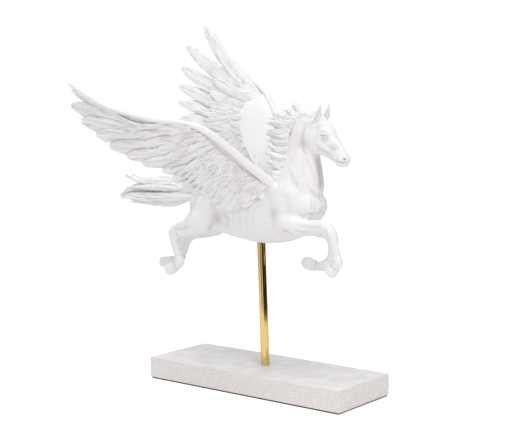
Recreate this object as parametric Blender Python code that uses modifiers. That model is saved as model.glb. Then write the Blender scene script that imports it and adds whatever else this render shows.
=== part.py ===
"""A leaping pegasus cast in white resin, on a brass rod that stands in a marble slab.

Run it in Blender 4.5. Metres, +Z up, +X is the way the horse leaps.
"""

import math

import bmesh
import bpy
from mathutils import Matrix, Vector

MM = 0.001
FIT_GAP = 0.3 * MM  # the clearance between pieces that meet

# Marble slab
SLAB_LENGTH = 0.222
SLAB_WIDTH = 0.083
SLAB_THICKNESS = 0.020
SLAB_EDGE = 0.0008

# Felt pad under the slab
PAD_THICKNESS = 0.0010
PAD_INSET = 0.0015

# Brass rod
ROD_DIAMETER = 0.0082
ROD_LEAN = math.radians(2.5)  # towards the tail
ROD_IN_SLAB = 0.009
ROD_SHOWN = 0.116  # from the slab's face to the belly
ROD_IN_BELLY = 0.014

# Screw and washer that hold the rod from beneath
SCREW_SHANK = 0.0050
SCREW_HEAD = 0.0088
SCREW_HEAD_HEIGHT = 0.0032
SCREW_IN_ROD = 0.010
WASHER_DIAMETER = 0.0105
WASHER_THICKNESS = 0.0010
POCKET_ROOM = 0.0010  # round the washer in the slab's pocket
CUT_PAST = 0.003  # how far a cutter runs past the face it cuts

# The figure. Its numbers count in this unit, from where the rod enters the belly.
FIGURE_UNIT = 0.001
CLAY_VOXEL = 1.3
CLAY_SMOOTHING = 6
VOXEL = 0.85
FIGURE_TRIANGLES = 11600
BLADE_THICKNESS = 2.4
MEMBRANE_THICKNESS = 3.2
FAR_SWELL = 2.6  # how much fuller the far wing is behind its leading edge

# Heights that follow from the sizes above
SLAB_BOTTOM = PAD_THICKNESS + FIT_GAP
SLAB_TOP = SLAB_BOTTOM + SLAB_THICKNESS

# Distances along the rod from the slab's face, downwards negative
ROD_LOW = -ROD_IN_SLAB
ROD_HIGH = ROD_SHOWN + ROD_IN_BELLY
HEAD_LOW = -(SLAB_THICKNESS - 2 * FIT_GAP)
HEAD_HIGH = HEAD_LOW + SCREW_HEAD_HEIGHT
WASHER_LOW = HEAD_HIGH + FIT_GAP
WASHER_HIGH = WASHER_LOW + WASHER_THICKNESS
POCKET_ROOF = WASHER_HIGH + FIT_GAP

# Trunk: x, y, z, half height, half width
TRUNK = (
    (-77.5, 0, 36, 12, 12),
    (-71, 0, 34, 19, 18),
    (-57, 0, 32.5, 23.5, 22),
    (-40, 0, 31, 25, 22),
    (-20, 0, 28.8, 26.2, 22.5),
    (0, 0, 28, 28, 23.5),
    (20, 0, 30.5, 29.5, 22.5),
    (37, 0, 34, 28, 21),
    (51, 0, 37, 24, 18.5),
    (61, 0, 38, 17, 14),
    (66, 0, 38, 10, 9),
)
NECK = (
    (38, 0, 40, 24, 19),
    (42, 0, 55, 27, 18),
    (44.5, 0, 68, 25, 15.5),
    (46.5, 0, 82, 19.5, 12.5),
    (48, 0, 96, 14.5, 10.5),
    (52, 0, 107, 12, 9.5),
    (58, 0, 114, 9, 8),
)
HEAD = (
    (57, 0, 113.5, 8.5, 7.5),
    (61, 0, 109.5, 11.5, 9),
    (66, 0, 101, 13.5, 10.2),
    (72, 0, 94.5, 12.3, 10.4),
    (80, 0, 88.5, 9, 7.6),
    (87.5, 0, 82.3, 7.3, 6.4),
    (92, 0, 78.6, 6.6, 6.8),
    (95, 0, 76.2, 5, 5.8),
)
EARS = (
    ((65, -5, 113, 2.6, 3.4), (68.5, -6.5, 119, 2.3, 3.2), (72, -8, 127.5, 0.8, 0.9)),
    ((66, 5, 114, 2.6, 3.4), (69, 6.5, 120, 2.3, 3.2), (71, 8, 129, 0.8, 0.9)),
)

# Legs: x, y, z, half depth, half width, from the body to the toe
NEAR_FORELEG = (
    (30, -13, 33, 15, 7),
    (39, -16, 23, 12.5, 8.5),
    (51, -17.5, 19.5, 9.6, 8),
    (65, -18, 19, 7.8, 6.8),
    (78, -18, 20.3, 6.7, 6),
    (86, -18, 20, 6.6, 6.2),
    (91, -18, 14.5, 6, 5.6),
    (94, -18, 6, 4.4, 4.2),
    (96.5, -18, -3, 4.2, 4),
    (98, -18, -9, 5.4, 5),
    (96, -18, -14, 4.6, 4.6),
    (93.5, -18, -16, 5.8, 5.8),
    (89, -18, -20, 6.2, 6.6),
)
FAR_FORELEG = (
    (32, 14, 32, 15, 7),
    (40, 16, 21, 11.5, 8.5),
    (52, 15.5, 16, 8.8, 7),
    (64, 15, 13, 6.8, 6),
    (69.5, 15, 8.5, 6.3, 5.8),
    (71.5, 15, 1, 5.2, 5),
    (70.5, 15, -7, 4.4, 4.2),
    (67, 15, -13.5, 4.6, 4.4),
    (62, 15, -18, 5.4, 5),
    (54, 15, -19.5, 4.6, 4.6),
    (49.5, 15, -19, 5.6, 5.8),
    (40, 15, -16.5, 6.2, 6.8),
)
NEAR_HIND_LEG = (
    (-57.5, -12, 38, 19, 9),
    (-58.5, -15, 24, 17.2, 10.5),
    (-67, -17, 16, 13, 9.5),
    (-78, -18, 10.5, 9, 7.5),
    (-89, -18, 8.5, 7, 6),
    (-94.5, -18, 5.5, 6.2, 5.4),
    (-94, -18, -2, 5, 4.6),
    (-91.5, -18, -10, 4.3, 4.1),
    (-88.5, -18, -17, 4.4, 4.2),
    (-87, -18, -22, 5.4, 5),
    (-91, -18, -27.5, 4.6, 4.6),
    (-96, -18, -30, 5.6, 5.8),
    (-103, -18, -33, 6, 6.6),
)
FAR_HIND_LEG = (
    (-58, 12, 38, 20, 9),
    (-60, 15, 23, 17, 10.5),
    (-72, 16, 14, 14, 9),
    (-85, 15, 8.4, 11.2, 7),
    (-97, 14, 5, 9.4, 5.8),
    (-104.5, 14, 1.5, 9.4, 5.4),
    (-109, 14, -6, 8.2, 4.8),
    (-110, 14, -14, 5.4, 4),
    (-112.5, 14, -20, 4.8, 4.4),
    (-115, 14, -24, 5.2, 4.9),
    (-123, 14, -27, 4.5, 4.6),
    (-128.5, 14, -28.5, 5.3, 5.6),
    (-141, 14, -31, 5.6, 6.2),
)

# Muscles: centre, radii, lean in degrees about Y
MUSCLES = (
    ((55.5, 9, 37), (12, 9.5, 14), 0),
    ((55.5, -9, 37), (12, 9.5, 14), 0),
    ((38, 13.5, 38), (17, 10, 24), 22),
    ((38, -13.5, 38), (17, 10, 24), 22),
    ((-56, 13, 33), (21, 11, 22), -12),
    ((-56, -13, 33), (21, 11, 22), -12),
    ((63.5, 6.5, 98), (10.5, 4.6, 11.5), -20),
    ((63.5, -6.5, 98), (10.5, 4.6, 11.5), -20),
)

# Hollows pressed in on both sides: centre, radius, depth
HOLLOWS = (
    ((77.5, 8.5, 99), 6.5, 1.3),
    ((85, 7, 90), 7, 0.9),
    ((96.3, 5, 80.8), 2.3, 1.8),
    ((94.3, 4.6, 77.2), 1.8, 1.1),
    ((91.2, 5.4, 78.2), 1.8, 1.1),
    ((88, 5.8, 79.4), 1.8, 1.1),
    ((52.5, 10, 93), 7, 1.4),
    ((-38, 21, 22), 12, 1.4),
)
BROWS_AND_EYES = (
    ((76.6, 7.3, 99.6), (2.9, 1.7, 2.1), 40),
    ((74.6, 7, 103), (4.6, 2, 1.7), 38),
)

# Tail locks: x, y, z, half thickness, half width
TAIL_LOCKS = (
    ((-72, 0, 47, 6, 6), (-84, -1, 49, 6, 7), (-103, -5, 53.5, 6, 7), (-127, -6, 54, 5, 6.5),
     (-152, -5, 54.5, 3, 4.5), (-174, -4, 60, 0.9, 1)),
    ((-72, 1, 46, 7, 7), (-86, 2, 45, 7, 8), (-108, 3, 45, 7, 9), (-135, 4, 45, 7, 8),
     (-160, 3, 45.5, 5.5, 7), (-174, 3, 43, 4, 5), (-186, 1, 36.5, 1, 1)),
    ((-72, -1, 44, 6, 6), (-86, -3, 42.5, 6, 7), (-108, -7, 39.5, 5, 8), (-135, -7, 38.5, 4.5, 7),
     (-163, -5, 39, 3, 5), (-181, -3, 36, 0.9, 1)),
    ((-74, 0, 44, 5, 6), (-86, 0, 44, 5, 7), (-102, 0, 39, 5, 9), (-125, 0, 33.5, 4, 8),
     (-150, 0, 33.5, 3, 5), (-170, 0, 34, 0.9, 1)),
    ((-76, 2, 44, 4, 5), (-88, 4, 42.5, 4, 6), (-103, 6, 37, 4, 7), (-120, 7, 31.5, 3.2, 6),
     (-137, 6, 31, 2.3, 4), (-149, 5, 30.5, 0.9, 1)),
)

# Mane: where the locks grow along the crest, and their tips
MANE_CREST = ((60, 0, 120.5), (52, 0, 118.5), (44, 0, 114.5), (37, 0, 109), (33.5, 0, 102), (32, 0, 94),
              (31, 0, 86), (29.5, 0, 78), (26, 0, 69), (22, 0, 62))
MANE_TIPS = ((36, 1, 128.5), (29, 2, 125), (14, 3, 121), (6.5, 3, 114), (10, 3, 105), (4, 2, 100),
             (10.5, 1, 92), (5.5, 0, 83.5), (14.5, -1, 70), (19, -3, 63))
MANE_SPREAD = 3.6  # how far the locks stand to each side of the crest
MANE_WAVE = 1.3
MANE_ROOT_AHEAD = 2.0  # how far in front of the crest a lock starts
MANE_DEPTH = 4.4
TOP_LOCK_DEPTH = 3.4
TOP_LOCKS = 2
FORELOCK = (
    ((61, -2, 118, 3, 3.2), (69, -3, 116, 2.6, 3), (75, -3.5, 108, 1, 1)),
    ((61, 2, 118, 3, 3.2), (70, 3, 116, 2.6, 3), (76, 3, 107, 1, 1)),
)

# Wings: leading edge from shoulder to tip as x, y, z, half thickness, half width
NEAR_LEAD = (
    (30, -10, 48, 9, 9),
    (22, -16, 57, 7.5, 7.5),
    (17, -40, 73, 5.2, 5.2),
    (8, -66, 93, 4.8, 4.8),
    (-1, -82, 105, 4.8, 5),
    (-18, -91, 111, 3.8, 4.2),
    (-50, -98, 115, 3, 3.6),
    (-90, -102, 124, 2.6, 3.2),
    (-120, -104, 136, 1.9, 2.4),
    (-148, -105, 150, 0.9, 1),
)
FAR_LEAD = (
    (26, 10, 48, 9, 9),
    (17, 14, 58, 8, 8),
    (6, 28, 80, 6.5, 6.5),
    (-6, 38, 103, 6, 6),
    (-20, 46, 122, 5.6, 5.6),
    (-40, 56, 142, 4.6, 4.6),
    (-64, 64, 157, 3.6, 3.8),
    (-96, 70, 183, 2.8, 3.2),
    (-134, 75, 216, 1, 1.1),
)
NEAR_ROOTS = ((-15, -90, 109), (-5, -84, 102), (-5, -76, 95), (-4, -64, 85), (2, -46, 73), (10, -31, 62),
              (20, -22, 55))
FAR_ROOTS = ((-43, 56, 139), (-54, 53, 131), (-58, 49, 120), (-54, 43, 104), (-40, 34, 87), (-15, 22, 68),
             (10, 17, 56))
NEAR_TIPS = ((-148, -105, 149), (-146, -103, 129), (-136, -100, 114.5), (-120, -96, 101.5),
             (-107, -91, 90), (-92, -84, 81), (-79, -76, 74), (-63, -66, 67), (-58, -58, 59),
             (-54, -50, 51), (-47, -42, 45), (-40, -36, 42), (-32, -31, 37), (-18, -28, 33),
             (-4, -27, 37), (12, -22, 45))
FAR_TIPS = ((-134, 75, 215), (-156, 72, 195), (-160, 68, 172), (-159, 63, 153), (-155, 57, 136),
            (-146, 50, 118), (-130, 46, 101), (-112, 43, 86), (-94, 41, 73), (-76, 38, 62), (-60, 35, 53),
            (-46, 32, 45), (-31, 29, 38), (-16, 27, 35), (-2, 26, 38), (12, 22, 46))
NEAR_SAG = (16, 8, 6, 5, 4.5, 4.5, 4, 3, 2, 1, 0, 0, 0, 0, 0, 0)
FAR_SAG = (8, 4.5, 4.5, 4.5, 4, 3, 2, 0, 0, 0, 0, 0, 0, 0, 0, 0)
FINGERS = 5  # feathers that stand apart on the far wing
FINGER_WIDTH = 14.5
BLADE_WIDTH = 16.0
INNER_WIDTH = 14.5


def clear_scene():
    for obj in list(bpy.data.objects):
        bpy.data.objects.remove(obj, do_unlink=True)


def collection(name, hidden=False):
    made = bpy.data.collections.new(name)
    bpy.context.scene.collection.children.link(made)
    made.hide_render = hidden
    return made


def material(name, colour, roughness, metallic=0.0):
    made = bpy.data.materials.new(name)
    made.use_nodes = True
    surface = made.node_tree.nodes["Principled BSDF"]
    surface.inputs["Base Color"].default_value = (*colour, 1.0)
    surface.inputs["Roughness"].default_value = roughness
    surface.inputs["Metallic"].default_value = metallic
    return made


def add_object(name, bm, group, surface=None):
    """Turns a bmesh into an object of its own in the group."""
    bmesh.ops.recalc_face_normals(bm, faces=bm.faces)
    mesh = bpy.data.meshes.new(name)
    bm.to_mesh(mesh)
    bm.free()
    obj = bpy.data.objects.new(name, mesh)
    group.objects.link(obj)
    if surface is not None:
        mesh.materials.append(surface)
    return obj


def add_frame(name, group, location, lean=0.0):
    """An empty that other pieces are placed on."""
    frame = bpy.data.objects.new(name, None)
    frame.empty_display_size = 0.01
    frame.location = location
    frame.rotation_euler = (0.0, -lean, 0.0)
    group.objects.link(frame)
    return frame


# Plain shapes
def cylinder(radius, height, segments=48):
    """A closed cylinder that stands on its own origin."""
    bm = bmesh.new()
    bmesh.ops.create_cone(bm, cap_ends=True, segments=segments, radius1=radius, radius2=radius,
                          depth=height, matrix=Matrix.Translation((0, 0, height / 2)))
    return bm


def box(length, width, height):
    bm = bmesh.new()
    bmesh.ops.create_cube(bm, size=1.0, matrix=Matrix.Translation((0, 0, 0.5)))
    bmesh.ops.scale(bm, vec=(length, width, height), verts=bm.verts)
    return bm


def on_rod(obj, start, foot):
    """Stands a piece on the rod's axis, at its distance from the slab's face."""
    obj.parent = foot
    obj.location = (0.0, 0.0, start)
    return obj


def add_cutter(name, radius, start, end, foot, tools, segments=48):
    tool = on_rod(add_object(name, cylinder(radius, end - start, segments), tools), start, foot)
    tool.hide_render = True
    tool.display_type = "WIRE"
    return tool


def combine(obj, tool, operation="DIFFERENCE"):
    step = obj.modifiers.new(tool.name, "BOOLEAN")
    step.operation = operation
    step.solver = "EXACT"
    step.object = tool


def smooth_sides(obj):
    obj.data.shade_smooth()
    obj.data.set_sharp_from_angle(angle=math.radians(40))


def make_slab(group, tools, foot):
    slab = add_object("marble_base", box(SLAB_LENGTH, SLAB_WIDTH, SLAB_THICKNESS), group,
                      material("white_marble", (0.78, 0.75, 0.74), 0.55))
    slab.location = (0.0, 0.0, SLAB_BOTTOM)
    edge = slab.modifiers.new("eased_edges", "BEVEL")
    edge.width = SLAB_EDGE
    edge.segments = 2
    edge.limit_method = "ANGLE"
    rod_room = ROD_DIAMETER / 2 + FIT_GAP
    screw_room = SCREW_SHANK / 2 + FIT_GAP
    pocket_room = WASHER_DIAMETER / 2 + POCKET_ROOM
    under = -SLAB_THICKNESS - CUT_PAST
    combine(slab, add_cutter("rod_hole", rod_room, ROD_LOW - FIT_GAP, CUT_PAST, foot, tools))
    combine(slab, add_cutter("screw_hole", screw_room, under, CUT_PAST, foot, tools, 32))
    combine(slab, add_cutter("screw_pocket", pocket_room, under, POCKET_ROOF, foot, tools))
    return slab


def make_pad(group):
    length = SLAB_LENGTH - 2 * PAD_INSET
    width = SLAB_WIDTH - 2 * PAD_INSET
    return add_object("felt_pad", box(length, width, PAD_THICKNESS), group,
                      material("dark_felt", (0.05, 0.055, 0.05), 0.95))


def make_rod(group, tools, foot):
    rod = add_object("support_rod", cylinder(ROD_DIAMETER / 2, ROD_HIGH - ROD_LOW), group,
                     material("polished_brass", (0.80, 0.58, 0.26), 0.18, 1.0))
    on_rod(rod, ROD_LOW, foot)
    smooth_sides(rod)
    bore_end = ROD_LOW + SCREW_IN_ROD + FIT_GAP
    room = SCREW_SHANK / 2 + FIT_GAP
    combine(rod, add_cutter("rod_bore", room, ROD_LOW - CUT_PAST, bore_end, foot, tools, 32))
    return rod


def make_screw(group, tools, foot):
    start = (HEAD_LOW + HEAD_HIGH) / 2  # the shank starts inside the head
    screw = add_object("base_screw", cylinder(SCREW_SHANK / 2, ROD_LOW + SCREW_IN_ROD - start, 32), group,
                       material("zinc_steel", (0.62, 0.62, 0.60), 0.35, 1.0))
    on_rod(screw, start, foot)
    smooth_sides(screw)
    head = add_cutter("screw_head", SCREW_HEAD / 2, HEAD_LOW, HEAD_HIGH, foot, tools, 32)
    combine(screw, head, "UNION")
    return screw


def make_washer(group, tools, foot):
    washer = add_object("screw_washer", cylinder(WASHER_DIAMETER / 2, WASHER_THICKNESS), group,
                        material("washer_steel", (0.66, 0.66, 0.64), 0.4, 1.0))
    on_rod(washer, WASHER_LOW, foot)
    smooth_sides(washer)
    room = SCREW_SHANK / 2 + FIT_GAP
    low, high = WASHER_LOW - CUT_PAST, WASHER_HIGH + CUT_PAST
    combine(washer, add_cutter("washer_hole", room, low, high, foot, tools, 32))
    return washer


# Curves through a few given points
def between(a, b, c, d, t):
    return 0.5 * (2 * b + (c - a) * t + (2 * a - 5 * b + 4 * c - d) * t * t + (3 * b - a - 3 * c + d) * t ** 3)


def at(rows, t):
    """The smooth curve through rows of numbers, at t from 0 to 1."""
    last = len(rows) - 1
    place = min(max(t, 0.0), 1.0) * last
    i = min(int(place), last - 1)
    a, b, c, d = rows[max(i - 1, 0)], rows[i], rows[i + 1], rows[min(i + 2, last)]
    return [between(p, q, r, s, place - i) for p, q, r, s in zip(a, b, c, d)]


def smooth(rows, steps):
    count = (len(rows) - 1) * steps
    return [at(rows, k / count) for k in range(count + 1)]


def skin(bm, rings, bulge=(0.0, 0.0)):
    """Closes a row of rings into a body, each end drawn out by its bulge."""
    made = [[bm.verts.new(p) for p in ring] for ring in rings]
    for low, high in zip(made, made[1:]):
        for k in range(len(low)):
            n = (k + 1) % len(low)
            bm.faces.new((low[k], low[n], high[n], high[k]))
    for end, inner, push in ((0, 1, bulge[0]), (-1, -2, bulge[1])):
        ring = rings[end]
        middle = sum(ring, Vector()) / len(ring)
        before = sum(rings[inner], Vector()) / len(ring)
        out = (middle - before).normalized()
        top = bm.verts.new(middle + out * push)
        for k in range(len(ring)):
            bm.faces.new((made[end][k], made[end][(k + 1) % len(ring)], top))


def limb(bm, rows, steps=4, around=18, rounded=True, side=(0, 1, 0)):
    """A smooth oval body along a path of (x, y, z, half depth, half width)."""
    path = smooth(rows, steps)
    points = [Vector(p[:3]) for p in path]
    rings = []
    for k, row in enumerate(path):
        along = (points[min(k + 1, len(path) - 1)] - points[max(k - 1, 0)]).normalized()
        up = along.cross(Vector(side)).normalized()
        across = up.cross(along)
        ring = []
        for n in range(around):
            angle = 2 * math.pi * n / around
            ring.append(points[k] + across * (row[4] * math.cos(angle)) + up * (row[3] * math.sin(angle)))
        rings.append(ring)
    tail = path[-1][3] * (0.55 if rounded else 0.02)
    skin(bm, rings, (path[0][3] * 0.4, tail))


def lump(bm, centre, radii, lean):
    turn = Matrix.Rotation(math.radians(lean), 4, "Y")
    place = Matrix.Translation(centre) @ turn @ Matrix.Diagonal((*radii, 1))
    bmesh.ops.create_uvsphere(bm, u_segments=20, v_segments=12, radius=1.0, matrix=place)


# Horse
def add_horse(bm):
    limb(bm, TRUNK, around=28)
    limb(bm, NECK, around=24)
    limb(bm, HEAD, around=20)
    for leg in (NEAR_FORELEG, FAR_FORELEG, NEAR_HIND_LEG, FAR_HIND_LEG):
        limb(bm, leg, rounded=False)
    for centre, radii, lean in MUSCLES:
        lump(bm, centre, radii, lean)


def add_hair(bm):
    for lock in TAIL_LOCKS + FORELOCK:
        limb(bm, lock, around=10)
    count = len(MANE_TIPS)
    for k, tip in enumerate(MANE_TIPS):
        root = Vector(at(MANE_CREST, k / (count - 1)))
        tip = Vector(tip)
        for offset in (-MANE_SPREAD, 0.0, MANE_SPREAD):
            wave = MANE_WAVE if (k % 2) else -MANE_WAVE
            first = root.lerp(tip, 0.35) + Vector((0, offset, wave))
            second = root.lerp(tip, 0.7) + Vector((0, offset * 0.7, -wave))
            end = tip + Vector((abs(offset) * 0.9, offset * 0.5, offset * 0.3))
            start = root + Vector((MANE_ROOT_AHEAD, offset * 0.8, 0))
            deep = TOP_LOCK_DEPTH if k < TOP_LOCKS else MANE_DEPTH
            lock = ((*start, deep, 3.2), (*first, deep, 3.2), (*second, 3.4, 2.6), (*end, 0.9, 0.9))
            limb(bm, lock, around=10)


# Wings
def feather_line(roots, tips, sag, k, s):
    root = Vector(at(roots, k / (len(tips) - 1)))
    drop = sag[k] * math.sin(math.pi * s) ** 1.2 if 0 < s < 1 else 0.0
    return root.lerp(Vector(tips[k]), s) - Vector((0, 0, drop))


def wing_grid(lead, roots, tips, sag, stations):
    """Points of the wing's middle surface: feather by feather, from leading edge to tip."""
    grid = []
    for k in range(len(tips)):
        share = 1 - k / (len(tips) - 1)
        edge = Vector(at([p[:3] for p in lead[1:6]], share * 0.96))
        line = [edge] + [feather_line(roots, tips, sag, k, s) for s in stations]
        grid.append(line)
    return grid


def grid_normal(grid, i, k, outward):
    along = grid[i][min(k + 1, len(grid[i]) - 1)] - grid[i][max(k - 1, 0)]
    across = grid[min(i + 1, len(grid) - 1)][k] - grid[max(i - 1, 0)][k]
    normal = along.cross(across).normalized()
    return normal if normal.dot(outward) > 0 else -normal


def add_membrane(bm, grid, outward, last, thick, swell):
    """The solid web that the feathers are carved on."""
    front, back = [], []
    for i in range(len(grid)):
        for side, store in ((1, front), (-1, back)):
            row = []
            for k in range(last + 1):
                half = thick / 2 + (swell if k == 1 else 0.0)
                row.append(bm.verts.new(grid[i][k] + grid_normal(grid, i, k, outward) * (side * half)))
            store.append(row)
    rows, cols = len(grid), last + 1
    for i in range(rows - 1):
        for k in range(cols - 1):
            bm.faces.new((front[i][k], front[i + 1][k], front[i + 1][k + 1], front[i][k + 1]))
            bm.faces.new((back[i][k], back[i][k + 1], back[i + 1][k + 1], back[i + 1][k]))
    rim = [(i, 0) for i in range(rows)] + [(rows - 1, k) for k in range(1, cols)]
    rim += [(i, cols - 1) for i in range(rows - 2, -1, -1)] + [(0, k) for k in range(cols - 2, 0, -1)]
    for (a, b), (c, d) in zip(rim, rim[1:] + rim[:1]):
        bm.faces.new((front[a][b], front[c][d], back[c][d], back[a][b]))


def blade_share(s, point, blunt):
    """How wide a feather is along its length, as a share of its full width."""
    spread = min(1.0, 0.6 + 1.1 * s)
    if s < point:
        return spread
    t = (s - point) / (1 - point)
    return spread * max(math.sqrt(max(1 - t ** 2.4, 0.0)), blunt)


def flattened(angle, power):
    """Cosine and sine drawn towards a box, so that a blade's edge keeps its thickness."""
    c, s = math.cos(angle), math.sin(angle)
    return math.copysign(abs(c) ** 0.8, c), math.copysign(abs(s) ** power, s)


def add_blade(bm, line, normals, width, thick, tilt, point=0.74, blunt=0.3):
    """One feather along a line of points, tilted so that it laps over its neighbour."""
    rings = []
    last = len(line) - 1
    for k in range(last + 1):
        along = (line[min(k + 1, last)] - line[max(k - 1, 0)]).normalized()
        across = normals[k].cross(along).normalized()
        up = along.cross(across)
        c, s = math.cos(tilt), math.sin(tilt)
        across, up = across * c + up * s, up * c - across * s
        half = width / 2 * blade_share(k / last, point, blunt)
        deep = thick / 2
        ring = []
        for n in range(12):
            c, s = flattened(2 * math.pi * n / 12, 0.45)
            ring.append(line[k] + across * (half * c) + up * (deep * s))
        rings.append(ring)
    skin(bm, rings, (0.5, 0.6))


def feather_width(i, fingers):
    if i > 7:
        return INNER_WIDTH
    return FINGER_WIDTH if fingers and i < FINGERS else BLADE_WIDTH


def add_wing(bm, lead, roots, tips, sag, outward, tilt, fingers=False):
    stations = [k / 12 for k in range(13)]
    grid = wing_grid(lead, roots, tips, sag, stations)
    limb(bm, lead, around=14)
    add_membrane(bm, grid, outward, 7, MEMBRANE_THICKNESS, FAR_SWELL if fingers else 0.0)
    for i in range(len(tips)):
        normals = [grid_normal(grid, i, k, outward) for k in range(1, len(grid[i]))]
        width = feather_width(i, fingers)
        if i == 0 or (fingers and i < FINGERS + 1):
            add_blade(bm, grid[i][1:], normals, width, BLADE_THICKNESS, tilt, 0.55, 0.12)
        else:
            add_blade(bm, grid[i][1:], normals, width, BLADE_THICKNESS, tilt)
    for side in (1, -1):
        seen = side == (-1 if fingers else 1)  # that side of each wing is smooth behind its leading edge
        for first, last, lift in ((1, 8, 1.6), (1 if seen else 0, 4, 2.6)):
            for i in range(2, len(tips)):
                width = feather_width(i, fingers)
                line = []
                normals = []
                for k in range(first, last + 1):
                    normal = grid_normal(grid, i, k, outward)
                    middle = (grid[i][k] + grid[i - 1][k]) / 2
                    line.append(middle + normal * (side * lift))
                    normals.append(normal)
                add_blade(bm, line, normals, width * 0.8, BLADE_THICKNESS, tilt, 0.6, 0.35)


def add_wings(bm):
    tilt = math.radians(9)
    near_side, far_side = Vector((0.1, -0.9, -0.4)), Vector((0.1, 0.9, -0.4))
    add_wing(bm, NEAR_LEAD, NEAR_ROOTS, NEAR_TIPS, NEAR_SAG, near_side, -tilt)
    add_wing(bm, FAR_LEAD, FAR_ROOTS, FAR_TIPS, FAR_SAG, far_side, tilt, True)


def evaluated(obj):
    """The object's mesh with its modifiers worked in."""
    graph = bpy.context.evaluated_depsgraph_get()
    return bpy.data.meshes.new_from_object(obj.evaluated_get(graph), depsgraph=graph)


def fuse(obj, voxel, smoothing):
    step = obj.modifiers.new("fuse", "REMESH")
    step.mode = "VOXEL"
    step.voxel_size = voxel
    step.use_smooth_shade = True
    soft = obj.modifiers.new("soften", "SMOOTH")
    soft.factor = 0.5
    soft.iterations = smoothing
    obj.data = evaluated(obj)
    obj.modifiers.clear()


def thin_out(obj, triangles):
    step = obj.modifiers.new("thin_out", "DECIMATE")
    count = sum(len(p.vertices) - 2 for p in obj.data.polygons)
    step.ratio = min(1.0, triangles / count)
    step.use_collapse_triangulate = True
    obj.data = evaluated(obj)
    obj.modifiers.clear()


def press_in(bm, centre, radius, depth):
    """Pushes a soft round hollow into the clay."""
    centre = Vector(centre)
    for vert in bm.verts:
        share = (vert.co - centre).length / radius
        if share < 1:
            vert.co -= vert.normal * (depth * (1 - share * share) ** 2)


def add_softened_horse(bm, group):
    """The horse's limbs and muscles melted into one another, as a modeller would smooth clay."""
    clay = bmesh.new()
    add_horse(clay)
    soft = add_object("clay", clay, group)
    fuse(soft, CLAY_VOXEL, CLAY_SMOOTHING)
    bm.from_mesh(soft.data)
    bpy.data.objects.remove(soft, do_unlink=True)
    bm.normal_update()
    for (x, y, z), radius, depth in HOLLOWS:
        for side in (1, -1):
            press_in(bm, (x, y * side, z), radius, depth)


def add_face(bm):
    for ear in EARS:
        limb(bm, ear, around=10)
    for (x, y, z), radii, lean in BROWS_AND_EYES:
        for side in (1, -1):
            lump(bm, (x, y * side, z), radii, lean)


def make_figure(group, tools, foot):
    bm = bmesh.new()
    add_softened_horse(bm, tools)
    add_face(bm)
    add_hair(bm)
    add_wings(bm)
    bmesh.ops.scale(bm, vec=(FIGURE_UNIT, FIGURE_UNIT, FIGURE_UNIT), verts=bm.verts)
    white = material("white_resin", (0.86, 0.85, 0.86), 0.5)
    figure = add_object("pegasus_figure", bm, group, white)
    fuse(figure, VOXEL * FIGURE_UNIT, 1)
    thin_out(figure, FIGURE_TRIANGLES)
    figure.parent = add_frame("belly", group, foot.location + rod_direction() * ROD_SHOWN)
    room = ROD_DIAMETER / 2 + FIT_GAP
    socket = add_cutter("rod_socket", room, ROD_SHOWN - ROD_IN_BELLY, ROD_HIGH + FIT_GAP, foot, tools)
    combine(figure, socket)
    return figure


def rod_direction():
    return Vector((-math.sin(ROD_LEAN), 0.0, math.cos(ROD_LEAN)))


def main():
    clear_scene()
    group = collection("pegasus_figurine")
    tools = collection("cutters", hidden=True)
    foot = add_frame("rod_foot", group, (0.0, 0.0, SLAB_TOP), ROD_LEAN)
    make_pad(group)
    make_slab(group, tools, foot)
    make_rod(group, tools, foot)
    make_washer(group, tools, foot)
    make_screw(group, tools, foot)
    make_figure(group, tools, foot)


main()
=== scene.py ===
import math
from collections import namedtuple

import bmesh
import bpy
import numpy as np
from mathutils import Matrix, Vector


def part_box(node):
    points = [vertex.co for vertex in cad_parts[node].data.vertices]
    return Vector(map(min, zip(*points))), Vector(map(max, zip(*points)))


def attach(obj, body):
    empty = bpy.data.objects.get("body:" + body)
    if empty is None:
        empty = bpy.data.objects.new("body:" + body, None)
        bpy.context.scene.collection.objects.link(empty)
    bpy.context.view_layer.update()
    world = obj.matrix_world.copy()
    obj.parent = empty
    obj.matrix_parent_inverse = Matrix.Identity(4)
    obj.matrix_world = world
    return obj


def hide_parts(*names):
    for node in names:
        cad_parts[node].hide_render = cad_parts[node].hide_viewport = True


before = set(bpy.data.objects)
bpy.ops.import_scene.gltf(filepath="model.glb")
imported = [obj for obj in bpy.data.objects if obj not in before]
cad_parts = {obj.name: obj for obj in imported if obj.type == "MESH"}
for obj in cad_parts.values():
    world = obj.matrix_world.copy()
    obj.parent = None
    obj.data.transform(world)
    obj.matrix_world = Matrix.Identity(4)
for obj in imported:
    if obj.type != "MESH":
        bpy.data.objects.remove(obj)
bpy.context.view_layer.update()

MM = 0.001
BOX_ROOM = 0.05 * MM
rng = np.random.default_rng(41)

# Where the rod meets the belly. The figure's numbers are millimetres from that point.
ROD_LEAN = math.radians(2.5)
ROD_SHOWN = 0.116
ROD_DIRECTION = Vector((-math.sin(ROD_LEAN), 0.0, math.cos(ROD_LEAN)))
BELLY = Vector((0.0, 0.0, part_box("marble_base")[1].z)) + ROD_DIRECTION * ROD_SHOWN
SOCKET_RADIUS = 4.4
SOCKET_DEPTH = 14.3

# Clay and small forms: how fine they are made
CLAY_VOXEL = 1.3
CLAY_SMOOTHING = 6
SKIN_VOXEL = 0.6
BODY_TRIANGLES = 170000
BALL_RINGS = 15
BALL_SIDES = 28
EAR_RINGS = 44
EAR_SIDES = 32
LINE_POINTS = 44

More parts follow.
